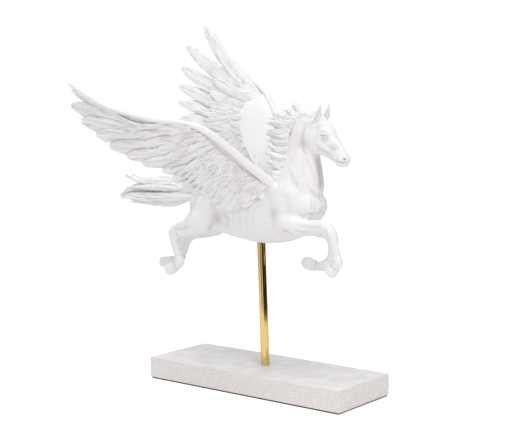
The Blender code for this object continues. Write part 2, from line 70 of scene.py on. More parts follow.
# Trunk, neck and head: x, y, z, half height, half width
TRUNK = (
    (-77.5, 0, 36, 12, 12),
    (-71, 0, 34, 19, 18),
    (-57, 0, 32.5, 23.5, 22),
    (-40, 0, 31, 25, 22),
    (-20, 0, 28.8, 26.2, 22.5),
    (0, 0, 28, 28, 23.5),
    (20, 0, 30.5, 29.5, 22.5),
    (37, 0, 34, 28, 21),
    (51, 0, 37, 24, 18.5),
    (61, 0, 38, 17, 14),
    (66, 0, 38, 10, 9),
)
NECK = (
    (38, 0, 40, 24, 19),
    (42, 0, 55, 27, 18),
    (44.5, 0, 68, 25, 15.5),
    (46.5, 0, 82, 19.5, 12.5),
    (48, 0, 96, 14.5, 10.5),
    (52, 0, 107, 12, 9.5),
    (58, 0, 114, 9, 8),
)
HEAD = (
    (57, 0, 113.5, 8.5, 7.5),
    (61.6, 0, 110.1, 12.3, 9),
    (66.8, 0, 101.8, 14.6, 10.2),
    (72.8, 0, 95.3, 13.5, 10.4),
    (80.8, 0, 89.2, 10, 7.6),
    (88, 0, 82.8, 8, 6.4),
    (92, 0, 78.8, 6.8, 6.8),
    (94.6, 0, 76.4, 5, 5.8),
)
EARS = (
    ((65, -5, 113, 3.4, 3.8), (67, -5.8, 116.5, 3.8, 4.1), (69.2, -6.8, 121, 3.3, 3.5),
     (72, -8, 127.5, 0.6, 0.6)),
    ((66, 5, 114, 3.4, 3.8), (67.8, 5.8, 117.5, 3.8, 4.1), (69.4, 6.8, 122, 3.3, 3.5),
     (71, 8, 129, 0.6, 0.6)),
)

# Legs: x, y, z, half depth, half width, from the body to the toe
NEAR_FORELEG = (
    (30, -13, 33, 15, 7),
    (39, -16, 23, 12.5, 8.5),
    (51, -17.5, 19.5, 9.6, 8),
    (65, -18, 19, 7.8, 6.8),
    (78, -18, 20.3, 6.7, 6),
    (86, -18, 20, 6.6, 6.2),
    (91, -18, 14.5, 6, 5.6),
    (94, -18, 6, 4.4, 4.2),
    (96.5, -18, -3, 4.2, 4),
    (98, -18, -9, 5.4, 5),
    (96, -18, -14, 4.6, 4.6),
    (93.5, -18, -16, 5.8, 5.8),
    (89, -18, -20, 6.2, 6.6),
)
FAR_FORELEG = (
    (32, 14, 32, 15, 7),
    (40, 16, 21, 11.5, 8.5),
    (52, 15.5, 16, 8.8, 7),
    (64, 15, 13, 6.8, 6),
    (69.5, 15, 8.5, 6.3, 5.8),
    (71.5, 15, 1, 5.2, 5),
    (70.5, 15, -7, 4.4, 4.2),
    (67, 15, -13.5, 4.6, 4.4),
    (62, 15, -18, 5.4, 5),
    (54, 15, -19.5, 4.6, 4.6),
    (49.5, 15, -19, 5.6, 5.8),
    (43, 15, -17, 6.2, 6.7),
    (38.6, 15, -13.4, 3.4, 4.4),
)
NEAR_HIND_LEG = (
    (-57.5, -12, 38, 19, 9),
    (-58.5, -15, 24, 17.2, 10.5),
    (-67, -17, 16, 13, 9.5),
    (-78, -18, 10.5, 9, 7.5),
    (-89, -18, 8.5, 7, 6),
    (-94.5, -18, 5.5, 6.2, 5.4),
    (-94, -18, -2, 5, 4.6),
    (-91.5, -18, -10, 4.3, 4.1),
    (-88.5, -18, -17, 4.4, 4.2),
    (-87, -18, -22, 5.4, 5),
    (-91, -18, -27.5, 4.6, 4.6),
    (-96, -18, -30, 5.6, 5.8),
    (-103, -18, -33, 6, 6.6),
)
FAR_HIND_LEG = (
    (-58, 12, 38, 20, 9),
    (-60, 15, 23, 17, 10.5),
    (-72, 16, 14, 14, 9),
    (-85, 15, 8.4, 11.2, 7),
    (-97, 14, 5, 9.4, 5.8),
    (-104.5, 14, 1.5, 9.4, 5.4),
    (-109, 14, -6, 8.2, 4.8),
    (-110, 14, -14, 5.4, 4),
    (-112.5, 14, -20, 4.8, 4.4),
    (-115, 14, -24, 5.2, 4.9),
    (-123, 14, -27, 4.5, 4.6),
    (-128.5, 14, -28.5, 5.3, 5.6),
    (-141, 14, -31, 5.6, 6.2),
)
LEGS = (NEAR_FORELEG, FAR_FORELEG, NEAR_HIND_LEG, FAR_HIND_LEG)

# Muscles: centre, radii, lean in degrees about Y
MUSCLES = (
    ((55.5, 9, 37), (12, 9.5, 14), 0),
    ((55.5, -9, 37), (12, 9.5, 14), 0),
    ((38, 13.5, 38), (17, 10, 24), 22),
    ((38, -13.5, 38), (17, 10, 24), 22),
    ((-56, 13, 33), (21, 11, 22), -12),
    ((-56, -13, 33), (21, 11, 22), -12),
    ((26, -15, 50), (9, 6, 9), -35),
    ((22, 13, 51), (9, 6, 9), -35),
    ((63.5, 6.5, 98), (10.5, 4.6, 11.5), -20),
    ((63.5, -6.5, 98), (10.5, 4.6, 11.5), -20),
)

# Soft hollows on both sides: centre, radius, depth. Each is also darkened with painted shade, more where
# it is deeper.
HOLLOWS = (
    ((77.5, 8.5, 99), 6.5, 0.9),
    ((85, 7, 90), 7, 1.0),
    ((52.5, 10, 93), 7, 1.4),
    ((-38, 21, 22), 12, 1.4),
    ((-70, 20, 30), 9, 0.7),
    ((30, 22, 30), 10, 0.8),
    ((70, 8, 107), 4, 0.8),
)
# The nostrils are pressed in twice. The deep hole gets the darkest painted shade.
NOSTRIL = (96.2, 4.6, 80.6)
NOSTRIL_RIM = (3.4, -0.5)
NOSTRIL_HOLE = (2.0, 4.2)

# Lines pressed in on both sides: points, width, depth. A depth below zero raises a ridge. A groove is also
# darkened with painted shade, more where it is deeper.
FACE_LINES = (
    (((87.5, 6, 79.7), (91, 6, 78.2), (94, 5.6, 77.3), (96.4, 3.6, 77.2), (98, 0, 77.6)), 1.1, 1.4),
    (((55, 9, 109), (54, 9.4, 103), (52.4, 9.4, 98), (52.6, 9.4, 92), (55, 9.8, 87), (58, 9.6, 84)),
     2.4, 1.1),
    (((70, 10, 95.5), (75, 9, 91.5), (81, 7.2, 87.5), (86, 6, 84.5)), 2.0, -0.7),
    (((69, 10, 91.5), (75, 8.6, 87.2), (81, 6.6, 83.2)), 2.4, 0.8),
    (((82, 4.6, 97), (86.5, 4.4, 91.5), (91, 4.2, 86.5)), 1.7, 0.6),
    (((62, 8.4, 112), (66.5, 8.2, 114), (70.5, 6.8, 116.8)), 1.7, 0.9),
    (((70.5, 9.4, 103.2), (73.4, 9.3, 105), (76.6, 8, 104.6), (79.4, 6, 102.4)), 2.2, -0.9),
    (((72, 9.4, 97), (75, 9, 95.2), (78, 8, 95)), 1.5, 0.5),
    (((78.5, 7.2, 96), (80.5, 6, 92.5), (83.5, 5.2, 89)), 1.6, 0.6),
    (((72, 9.8, 103.6), (75, 9.4, 105.2), (78.5, 8, 103.9)), 0.9, 0.9),
    (((74, 9.4, 97.2), (77, 8.8, 96.3), (80, 6.8, 96.9)), 0.8, 0.6),
    (((93.4, 5.8, 83.4), (96, 5.2, 83.4), (98, 3.4, 81.6)), 1.2, -0.5),
    (((93.6, 5.8, 79.6), (96.5, 4.6, 78.6)), 0.9, -0.4),
    (((88.5, 6.2, 76.2), (92, 5.6, 74.6), (95.5, 4, 74)), 1.1, 0.4),
)
NECK_LINES = (
    (((57.5, 10, 83), (62.5, 9, 72), (66.5, 7.2, 61), (68, 5.4, 52)), 3.4, 0.55),
    (((48, 11.5, 100), (47, 13.5, 88), (44, 16, 76), (40, 18, 64)), 4.5, 0.4),
    (((55, 11, 88), (56.5, 12, 76), (57, 13.5, 64)), 3.6, 0.3),
    (((40, 11, 104), (37, 12, 92), (34, 14, 78), (30, 16, 66)), 3.5, 0.45),
    (((44, 15.5, 68), (49, 16.5, 61), (54, 16, 54)), 3.4, 0.6),
    (((62.5, 11.5, 53.5), (66, 7, 48.5), (67.5, 0, 46)), 2.6, 0.8),
    (((64.5, 10.5, 52), (66, 11.4, 43), (66, 12.4, 34)), 1.8, 0.55),
    (((68, 0, 48), (69, 0, 38), (67, 0, 29)), 2.4, 1.1),
    (((55.5, 18, 32), (60, 16.4, 29), (64, 13.5, 31), (66, 9, 30), (67, 3, 31)), 2.2, 0.8),
    (((39, 22, 51), (45.5, 22, 44), (49, 21.5, 36), (48, 23, 27)), 4.6, 0.45),
    (((30, 23, 58), (27, 24, 46), (25, 24, 34), (28, 23, 22)), 5.6, 0.35),
    (((40, 20, 60), (43, 20, 52)), 3.0, 0.3),
)

# The soft fold down the front of the neck, pressed in once and darkened with painted shade along it
THROAT = (((60, -0.5, 84), (65, 0, 73), (69, 0.5, 62), (70.5, 0.5, 53)), 7.2, 2.6)

TRUNK_LINES = (
    (((-38, 20, 24), (-44, 19, 16), (-50, 18, 10)), 3.6, 1.2),
    (((-29, 22, 30), (-24, 21.5, 21), (-29, 18, 14)), 4.0, 0.8),
    (((-48, 22, 50), (-43, 22, 38), (-42, 21.5, 28)), 5.0, 0.8),
    (((-70, 18, 46), (-74, 19, 34), (-80, 19, 22)), 3.2, 0.8),
    (((-62, 22, 44), (-66, 23, 32), (-72, 23, 22)), 3.4, 0.6),
    (((20, 20, 8), (5, 19, 4), (-12, 18, 4), (-26, 17, 8)), 4.0, 0.5),
    (((12, 23, 40), (8, 24, 28), (7, 22, 14)), 3.0, 0.35),
    (((4, 23.4, 40), (0, 24, 28), (-1, 22, 14)), 3.0, 0.35),
    (((-4, 23.2, 40), (-8, 23.6, 28), (-9, 22, 15)), 3.0, 0.35),
    (((-12, 23, 40), (-16, 23.2, 28), (-17, 21.6, 16)), 3.0, 0.3),
)

# Lines on single legs
LEG_LINES = (
    (((56, -24, 23), (65, -24.4, 21), (75, -24, 20.6), (84, -24, 19.8)), 2.4, 0.6),
    (((40, -23.5, 13.5), (45, -24.5, 15.5), (50, -24.4, 14), (53, -22, 10.5)), 2.0, 1.1),
    (((57, -24.5, 17), (66, -24.5, 15.5), (76, -24, 16.4)), 2.0, 0.6),
    (((88, -24, 19), (90, -23.6, 14), (92, -22.4, 9)), 1.7, 0.7),
    (((95.4, -22.4, 6), (97.6, -21.8, 0), (99, -22, -5)), 1.2, 0.5),
    (((91.6, -21.6, 4), (94, -21.4, -3), (95.6, -22, -8)), 1.2, 0.5),
    (((44, 10, 14), (54, 9, 13.5), (64, 9.4, 11.5)), 2.0, 0.6),
    (((67, 9.6, 4), (68, 10, -3), (66.5, 10.6, -9)), 1.3, 0.5),
    (((-91, -23.4, 10.5), (-80, -25, 10), (-69, -26, 14)), 2.2, 0.7),
    (((-70, -26, 22), (-79, -25, 15.5), (-88, -23, 12)), 2.0, 0.5),
    (((-87.6, -22.6, 7), (-87, -21.4, 2), (-89, -20.6, -3)), 1.9, 1.0),
    (((-95, -22.4, 2), (-93, -21.6, -7), (-90, -21.4, -14)), 1.2, 0.5),
    (((-80, 8.6, 8), (-90, 8.8, 6), (-99, 9.2, 4)), 2.2, 0.6),
    (((-104, 9.4, -2), (-106, 10, -8), (-108, 10.4, -14)), 1.5, 0.7),
)

# The left eye. The right one is its mirror image.
UPPER_LID = ((72.4, 9.4, 100.8), (74.4, 9.7, 102.6), (76.8, 9.1, 102.7), (79.0, 7.5, 100.9),
             (80, 6.7, 99.2))
LOWER_LID = ((72.4, 9.4, 100.8), (74.4, 9.5, 99.0), (76.8, 8.9, 98.1), (79.0, 7.4, 98.2),
             (80, 6.7, 99.2))
UPPER_LID_THICKNESS = 0.75
LOWER_LID_THICKNESS = 0.5
EYE = (76.4, 8.0, 100.5)
EYE_RADII = (3.0, 1.8, 1.9)
EYE_LEAN = 15

# Tail locks: x, y, z, half thickness, half width
TAIL_LOCKS = (
    ((-72, 0, 47, 6, 6), (-84, -1, 49, 6, 7), (-103, -5, 53.5, 6, 7), (-127, -6, 54, 5, 6.5),
     (-152, -5, 54.5, 3, 4.5), (-174, -4, 60, 0.9, 1)),
    ((-72, 1, 46, 7, 7), (-86, 2, 45, 7, 8), (-108, 3, 45, 7, 9), (-135, 4, 45, 7, 8),
     (-160, 3, 45.5, 5.5, 7), (-174, 3, 43, 4, 5), (-186, 1, 36.5, 1, 1)),
    ((-72, -1, 44, 6, 6), (-86, -3, 42.5, 6, 7), (-108, -7, 39.5, 5, 8), (-135, -7, 38.5, 4.5, 7),
     (-163, -5, 39, 3, 5), (-181, -3, 36, 0.9, 1)),
    ((-74, 0, 44, 5, 6), (-86, 0, 44, 5, 7), (-102, 0, 39, 5, 9), (-125, 0, 33.5, 4, 8),
     (-150, 0, 33.5, 3, 5), (-170, 0, 34, 0.9, 1)),
    ((-76, 2, 44, 4, 5), (-88, 4, 42.5, 4, 6), (-103, 6, 37, 4, 7), (-120, 7, 31.5, 3.2, 6),
     (-137, 6, 31, 2.3, 4), (-149, 5, 30.5, 0.9, 1)),
    ((-72, -3, 47, 5, 5), (-90, -6, 48, 5, 5), (-115, -8, 49, 4.4, 4.5), (-138, -8, 48.6, 3.4, 4),
     (-156, -6, 47.5, 2.0, 2.5), (-170, -5, 46, 0.6, 0.6)),
)

# Mane: where the locks grow along the crest, their tips, and where the side locks grow
MANE_CREST = ((60, 0, 120.5), (52, 0, 118.5), (44, 0, 114.5), (37, 0, 109), (33.5, 0, 102), (32, 0, 94),
              (31, 0, 86), (29.5, 0, 78), (26, 0, 69), (22, 0, 62))
MANE_TIPS = ((35, 1, 129), (27, 2, 125.5), (11, 3, 121), (3, 3, 115), (6, 3, 106), (0, 2, 100.5),
             (6.5, 1, 92), (1.5, 0, 83.5), (11, -1, 71), (17, -3, 63))
MANE_SIDE = ((62, 6, 119), (55, 6.4, 119.5), (47, 6.6, 118), (41, 6.8, 114.5), (38, 7, 110),
             (36.5, 7.4, 104), (37, 8.6, 96), (37.6, 10, 87), (38, 12, 78), (35, 14, 68), (31, 15, 63))
MANE_LOCKS = 14
LOW_MANE_OUT = 13.0  # how far out the lowest locks hang, over the shoulder
FORELOCK = (
    ((61, -1.5, 118, 2.4, 3), (67, -2.5, 117, 2, 2.6), (71, -3, 112.5, 0.7, 0.8)),
    ((61, 2, 118, 2.4, 3), (68, 3, 117, 2, 2.6), (72.5, 3, 112, 0.7, 0.8)),
)

# Wings: leading edge from shoulder to tip as x, y, z, half thickness, half width
NEAR_LEAD = (
    (30, -10, 48, 9, 9),
    (22, -16, 57, 7.5, 7.5),
    (17, -40, 73, 5.2, 5.2),
    (8, -66, 93, 4.8, 4.8),
    (-1, -82, 105, 4.8, 5),
    (-18, -91, 111, 3.8, 4.2),
    (-50, -98, 115, 3, 3.6),
    (-90, -102, 124, 2.6, 3.2),
    (-120, -104, 136, 1.9, 2.4),
    (-148, -105, 150, 0.9, 1),
)
FAR_LEAD = (
    (26, 10, 48, 9, 9),
    (17, 14, 58, 8, 8),
    (6, 28, 80, 6.5, 6.5),
    (-6, 38, 103, 6, 6),
    (-20, 46, 122, 5.6, 5.6),
    (-40, 56, 142, 4.6, 4.6),
    (-64, 64, 157, 3.6, 3.8),
    (-96, 70, 183, 2.8, 3.2),
    (-134, 75, 216, 1, 1.1),
)

# Which way each bar is drawn, away from its feathers, and how slim it is beside the edge's own size
NEAR_AWAY = ((0, 0, 0), (0.4, -0.1, 0.3), (0.93, -0.13, 0.34), (0.93, -0.13, 0.34), (0.7, -0.1, 0.7),
             (0.3, 0, 0.95), (0.25, 0, 0.97), (0.25, 0, 0.97), (0.25, 0, 0.97), (0.2, 0, 0.5))
NEAR_SLIM = (0.62, 0.68, 0.72, 0.68, 0.68, 0.72, 0.75, 0.8, 1.25, 1.5)
FAR_AWAY = ((0, 0, 0), (0.3, 0, 0.2), (0.5, 0.02, 0.45), (0.5, 0.02, 0.45), (0.5, 0.02, 0.45),
            (0.5, 0.02, 0.45), (0.4, 0.02, 0.35), (0, 0, 0), (0, 0, 0))
FAR_SLIM = (0.7, 0.7, 0.68, 0.6, 0.55, 0.5, 0.4, 0.22, 0.3)

# Where the feathers start, and where each one ends, from the wing's tip to the body
NEAR_ROOTS = ((-15, -90, 109), (-5, -84, 102), (-5, -76, 95), (-4, -64, 85), (2, -46, 73), (10, -31, 62),
              (20, -22, 55))
FAR_ROOTS = ((-43, 56, 139), (-54, 53, 131), (-58, 49, 120), (-54, 43, 104), (-40, 34, 87), (-15, 22, 68),
             (10, 17, 56))
NEAR_TIPS = ((-144, -105, 143.5), (-146, -103, 129), (-136, -100, 114.5), (-120, -96, 101.5),
             (-107, -91, 90), (-92, -84, 81), (-79, -76, 74), (-63, -66, 67), (-58, -58, 59),
             (-54, -50, 51), (-47, -42, 45), (-40, -36, 42), (-32, -31, 37), (-18, -28, 33),
             (-4, -27, 37), (12, -22, 45))
FAR_TIPS = ((-134, 75, 215), (-156, 72, 195), (-160, 68, 172), (-159, 63, 153), (-155, 57, 136),
            (-146, 50, 118), (-130, 46, 101), (-112, 43, 86), (-94, 41, 73), (-76, 38, 62), (-60, 35, 53),
            (-46, 32, 45), (-31, 29, 38), (-16, 27, 35), (-2, 26, 38), (12, 22, 46))

# How far each feather hangs through in its middle
NEAR_SAG = (13, 7, 6, 5, 4.5, 4.5, 4, 3, 2, 1, 0, 0, 0, 0, 0, 0)
FAR_SAG = (8, 4.5, 4.5, 4.5, 4, 3, 2, 0, 0, 0, 0, 0, 0, 0, 0, 0)

# Feathers: how many of the far wing's stand apart, then widths, thickness and tilt
FINGERS = 5
FINGER_WIDTH = 14.5
FIRST_WIDTH = 11.5
BLADE_WIDTH = 17.5
BLADES = 8
INNER_WIDTH = 14.5
BLADE_THICKNESS = 2.0
BLADE_TILT = math.radians(9)
SHAFT_HEIGHT = 0.34
SHAFT_WIDTH = 0.55
BARB_HEIGHT = 0.09
BARB_SPACING = 2.9

# Feather tips: the share of the length that keeps its width, and how blunt the end is
SLIM_TIP = (0.55, 0.12)
BROAD_TIP = (0.74, 0.3)
COVERT_TIP = (0.6, 0.35)
SMALL_TIP = (0.45, 0.1)

# Points along each feather line, and where the shorter feathers lie, counted in those points.
# Coverts: the last point, how far they stand off in mm, and the step between the points used.
# Scales: the first point and the length.
FLIGHT_POINTS = 76
COVERT_POINTS = 97
WEB_END = 56
COVERT_ROWS = ((56, 1.5, 2), (25, 2.4, 1))
SCALE_ROWS = ((50, 34), (36, 32), (22, 30), (8, 28), (0, 20))

# A wing: its front edge, its feathers' starts, ends and sag, the side that shows, how the feathers
# tilt, how far their starts are drawn towards the front edge, and whether the first ones stand apart
Wing = namedtuple("Wing", "lead roots tips sag outward tilt pull fingers")
NEAR_WING = Wing(NEAR_LEAD, NEAR_ROOTS, NEAR_TIPS, NEAR_SAG, (0.1, -0.9, -0.4), -BLADE_TILT, 0.6, False)
FAR_WING = Wing(FAR_LEAD, FAR_ROOTS, FAR_TIPS, FAR_SAG, (0.1, 0.9, -0.4), BLADE_TILT, 0.15, True)
NEAR_WEB_THICKNESS = 2.8
FAR_WEB_THICKNESS = 5.0
FIRST_SCALE = 7


# Curves through a few given points
def at(rows, place):
    """The smooth curve through the rows, at places from 0 to 1."""
    rows = np.array(rows, float)
    last = len(rows) - 1
    place = np.clip(np.atleast_1d(place), 0.0, 1.0) * last
    i = np.minimum(place.astype(int), last - 1)
    t = (place - i)[:, None]
    a = rows[np.maximum(i - 1, 0)]
    b = rows[i]
    c = rows[i + 1]
    d = rows[np.minimum(i + 2, last)]
    square = (2 * a - 5 * b + 4 * c - d) * t ** 2
    cube = (3 * b - a - 3 * c + d) * t ** 3
    return 0.5 * (2 * b + (c - a) * t + square + cube)


def smooth(rows, count):
    """So many points along the smooth curve through the rows."""
    return at(rows, np.linspace(0, 1, count))


def unit(vectors):
    length = np.linalg.norm(vectors, axis=-1, keepdims=True)
    return vectors / np.maximum(length, 1e-9)


def directions(points):
    """The way the path runs at each of its points."""
    ahead = np.concatenate((points[1:], points[-1:]))
    behind = np.concatenate((points[:1], points[:-1]))
    return unit(ahead - behind)


class Shell:
    """Gathers closed skins into one mesh. Each point also keeps how far it is across and along."""

    def __init__(self):
        self.points = []
        self.across = []
        self.along = []
        self.quads = []
        self.tris = []
        self.count = 0

    def add(self, rings, ends, across, along):
        """Closes a row of rings with a point at either end."""
        steps, around = rings.shape[:2]
        grid = np.arange(steps * around).reshape(steps, around)
        turned = np.roll(grid, -1, axis=1)
        quads = np.stack((grid[:-1], turned[:-1], turned[1:], grid[1:]), axis=-1).reshape(-1, 4)
        first = np.full(around, steps * around)
        low = np.stack((turned[0], grid[0], first), axis=-1)
        high = np.stack((grid[-1], turned[-1], first + 1), axis=-1)
        tris = np.concatenate((low, high))
        points = np.concatenate((rings.reshape(-1, 3), np.array(ends, float)))
        if inside_out(points, quads):
            quads = quads[:, ::-1]
            tris = tris[:, ::-1]
        self.points.append(points)
        self.across.append(np.concatenate((across.reshape(-1), (0.0, 0.0))))
        self.along.append(np.concatenate((along.reshape(-1), (along.min(), along.max()))))
        self.quads.append(quads + self.count)
        self.tris.append(tris + self.count)
        self.count += len(points)


def inside_out(points, quads):
    """Whether a closed skin faces inwards: then the volume that its faces enclose is below zero."""
    a, b, c, d = (points[quads[:, k]] - points.mean(0) for k in range(4))
    volume = (a * np.cross(b, c)).sum() + (a * np.cross(c, d)).sum()
    return volume < 0


def to_mesh(name, shell):
    """The gathered skins as one Blender mesh, still in millimetres."""
    points = np.concatenate(shell.points)
    quads = np.concatenate(shell.quads)
    tris = np.concatenate(shell.tris)
    mesh = bpy.data.meshes.new(name)
    mesh.vertices.add(len(points))
    mesh.vertices.foreach_set("co", points.astype(np.float32).ravel())
    corners = np.concatenate((quads.ravel(), tris.ravel())).astype(np.int32)
    mesh.loops.add(len(corners))
    mesh.loops.foreach_set("vertex_index", corners)
    quad_starts = np.arange(len(quads)) * 4
    tri_starts = len(quads) * 4 + np.arange(len(tris)) * 3
    mesh.polygons.add(len(quads) + len(tris))
    mesh.polygons.foreach_set("loop_start", np.concatenate((quad_starts, tri_starts)).astype(np.int32))
    mesh.update(calc_edges=True)
    mesh.validate()
    keep_values(mesh, "across", np.concatenate(shell.across))
    keep_values(mesh, "along", np.concatenate(shell.along))
    return mesh


def keep_values(mesh, name, values):
    """Stores a value at each of the mesh's points, for its surface to use."""
    layer = mesh.attributes.new(name, "FLOAT", "POINT")
    layer.data.foreach_set("value", values.astype(np.float32))


def new_object(name, mesh):
    obj = bpy.data.objects.new(name, mesh)
    bpy.context.scene.collection.objects.link(obj)
    return obj


def finish_piece(obj, surface, crisp=180):
    """Takes a piece from millimetres to its place in the row frame, inside the casting's own box.

    Edges that turn by more than crisp degrees are shaded sharp.
    """
    mesh = obj.data
    points = read(mesh)[0] * MM + np.array(BELLY)
    low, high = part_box("pegasus_figure")
    points = np.clip(points, np.array(low) + BOX_ROOM, np.array(high) - BOX_ROOM)
    mesh.vertices.foreach_set("co", points.astype(np.float32).ravel())
    mesh.shade_smooth()
    mesh.set_sharp_from_angle(angle=math.radians(crisp))
    mesh.materials.clear()
    mesh.materials.append(surface)
    mesh.update()
    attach(obj, "root")
    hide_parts("pegasus_figure")
    return obj


def resin_piece(name, shell, surface, crisp=180):
    return finish_piece(new_object(name, to_mesh(name, shell)), surface, crisp)


def read(mesh):
    """A mesh's points and the directions its skin faces."""
    points = np.empty(len(mesh.vertices) * 3, np.float32)
    facing = np.empty(len(mesh.vertices) * 3, np.float32)
    mesh.vertices.foreach_get("co", points)
    mesh.vertex_normals.foreach_get("vector", facing)
    return points.reshape(-1, 3).astype(float), facing.reshape(-1, 3).astype(float)


# Limbs and hair
def path_frames(points, side):
    """Three directions at each point of a path: along it, up, and across."""
    along = directions(points)
    up = unit(np.cross(along, np.array(side, float)))
    return along, up, np.cross(up, along)


def limb(shell, rows, steps=5, around=24, side=(0, 1, 0), end=0.55):
    """A smooth oval body along a path of x, y, z, half depth, half width."""
    path = smooth(rows, (len(rows) - 1) * steps + 1)
    points = path[:, :3]
    along, up, across = path_frames(points, side)
    angle = 2 * np.pi * np.arange(around) / around
    wide = path[:, 4, None, None] * np.cos(angle)[None, :, None]
    deep = path[:, 3, None, None] * np.sin(angle)[None, :, None]
    rings = points[:, None] + across[:, None] * wide + up[:, None] * deep
    ends = (points[0] - along[0] * path[0, 3] * 0.4, points[-1] + along[-1] * path[-1, 3] * end)
    far = measured(points)
    shell.add(rings, ends, wide[..., 0], np.repeat(far[:, None], around, axis=1))


def measured(points):
    """How far along the path each point is."""
    step = np.linalg.norm(np.diff(points, axis=0), axis=1)
    return np.concatenate(((0.0,), np.cumsum(step)))


def ball(shell, centre, radii, lean):
    """An oval ball as rings from one pole to the other."""
    turn = np.array(Matrix.Rotation(math.radians(lean), 3, "Y"))
    rise = np.linspace(0.06, 0.94, BALL_RINGS) * np.pi
    angle = 2 * np.pi * np.arange(BALL_SIDES) / BALL_SIDES
    x = np.sin(rise)[:, None] * np.cos(angle)
    y = np.sin(rise)[:, None] * np.sin(angle)
    z = np.repeat(np.cos(rise)[:, None], BALL_SIDES, axis=1)
    place = np.stack((x, y, z), axis=-1) * np.array(radii, float) @ turn.T + np.array(centre, float)
    poles = np.array(((0, 0, radii[2]), (0, 0, -radii[2])), float) @ turn.T + np.array(centre, float)
    shell.add(place, poles, x, z)


def ear(shell, rows):
    """An ear: its back is round and its front is scooped out like a spoon."""
    path = smooth(rows, EAR_RINGS)
    points = path[:, :3]
    along, up, across = path_frames(points, (0, 1, 0))
    angle = 2 * np.pi * np.arange(EAR_SIDES) / EAR_SIDES
    scooped = np.where(np.sin(angle) < 0, -0.5 * np.sin(angle), np.sin(angle))
    opening = np.clip((np.linspace(0, 1, EAR_RINGS)[:, None] - 0.1) / 0.15, 0, 1)
    deep = np.sin(angle)[None] * (1 - opening) + scooped[None] * opening
    wide = path[:, 4, None] * np.cos(angle)[None]
    rings = points[:, None] + across[:, None] * wide[..., None]
    rings = rings + up[:, None] * (path[:, 3, None] * (deep - 0.35 * opening))[..., None]
    ends = (points[0] - along[0], points[-1] + along[-1] * 0.3)
    shell.add(rings, ends, wide, np.repeat(measured(points)[:, None], EAR_SIDES, axis=1))


def lock(shell, rows, ribs, twist=0.3, count=64, around=40, groove=0.15):
    """A lock of hair: a tapering body with combed grooves that run its whole length."""
    path = smooth(rows, count)
    points = path[:, :3]
    along, up, across = path_frames(points, (0, 1, 0))
    t = np.linspace(0, 1, count)[:, None]
    angle = 2 * np.pi * np.arange(around)[None] / around
    drift = twist * 2 * np.pi * t + 0.7 * np.sin(5 * t + rng.uniform(0, 6)) + rng.uniform(0, 6)
    finer = groove * 0.45 * np.cos((2 * ribs + 3) * angle - drift)
    comb = 1 + groove * np.cos(ribs * angle + drift) + finer
    wide = np.maximum(path[:, 4, None], 0.15)
    deep = np.maximum(path[:, 3, None], 0.15)
    x = wide * np.cos(angle) * comb
    y = deep * np.sin(angle) * comb
    rings = points[:, None] + across[:, None] * x[..., None] + up[:, None] * y[..., None]
    far = measured(points) + rng.uniform(0, 500)
    ends = (points[0] - along[0] * deep[0] * 0.4, points[-1] + along[-1] * 0.3)
    shell.add(rings, ends, angle * (deep + wide) / 2, np.repeat(far[:, None], around, axis=1))


# Horse
def fuse(obj, voxel, smoothing):
    """Joins skins that run through each other into one, and softens the seams."""
    step = obj.modifiers.new("fuse", "REMESH")
    step.mode = "VOXEL"
    step.voxel_size = voxel
    soft = obj.modifiers.new("soften", "SMOOTH")
    soft.factor = 0.5
    soft.iterations = smoothing
    settle(obj)


def settle(obj):
    """Works the object's modifiers into its mesh."""
    graph = bpy.context.evaluated_depsgraph_get()
    obj.data = bpy.data.meshes.new_from_object(obj.evaluated_get(graph), depsgraph=graph)
    obj.modifiers.clear()


def thin_out(obj, triangles):
    """Leaves about so many triangles, where there are more."""
    count = sum(len(p.vertices) - 2 for p in obj.data.polygons)
    if count > triangles:
        step = obj.modifiers.new("thin_out", "DECIMATE")
        step.ratio = triangles / count
        step.use_collapse_triangulate = True
        settle(obj)


def waves(points, count, shortest, longest, run):
    """Unevenness from many crossing waves; run stretches it along each axis."""
    height = np.zeros(len(points))
    for n in range(count):
        way = unit(rng.normal(size=3)) * np.array(run, float)
        length = rng.uniform(shortest, longest)
        height += np.sin(points @ way * (2 * np.pi / length) + rng.uniform(0, 6.3))
    return height / math.sqrt(count)


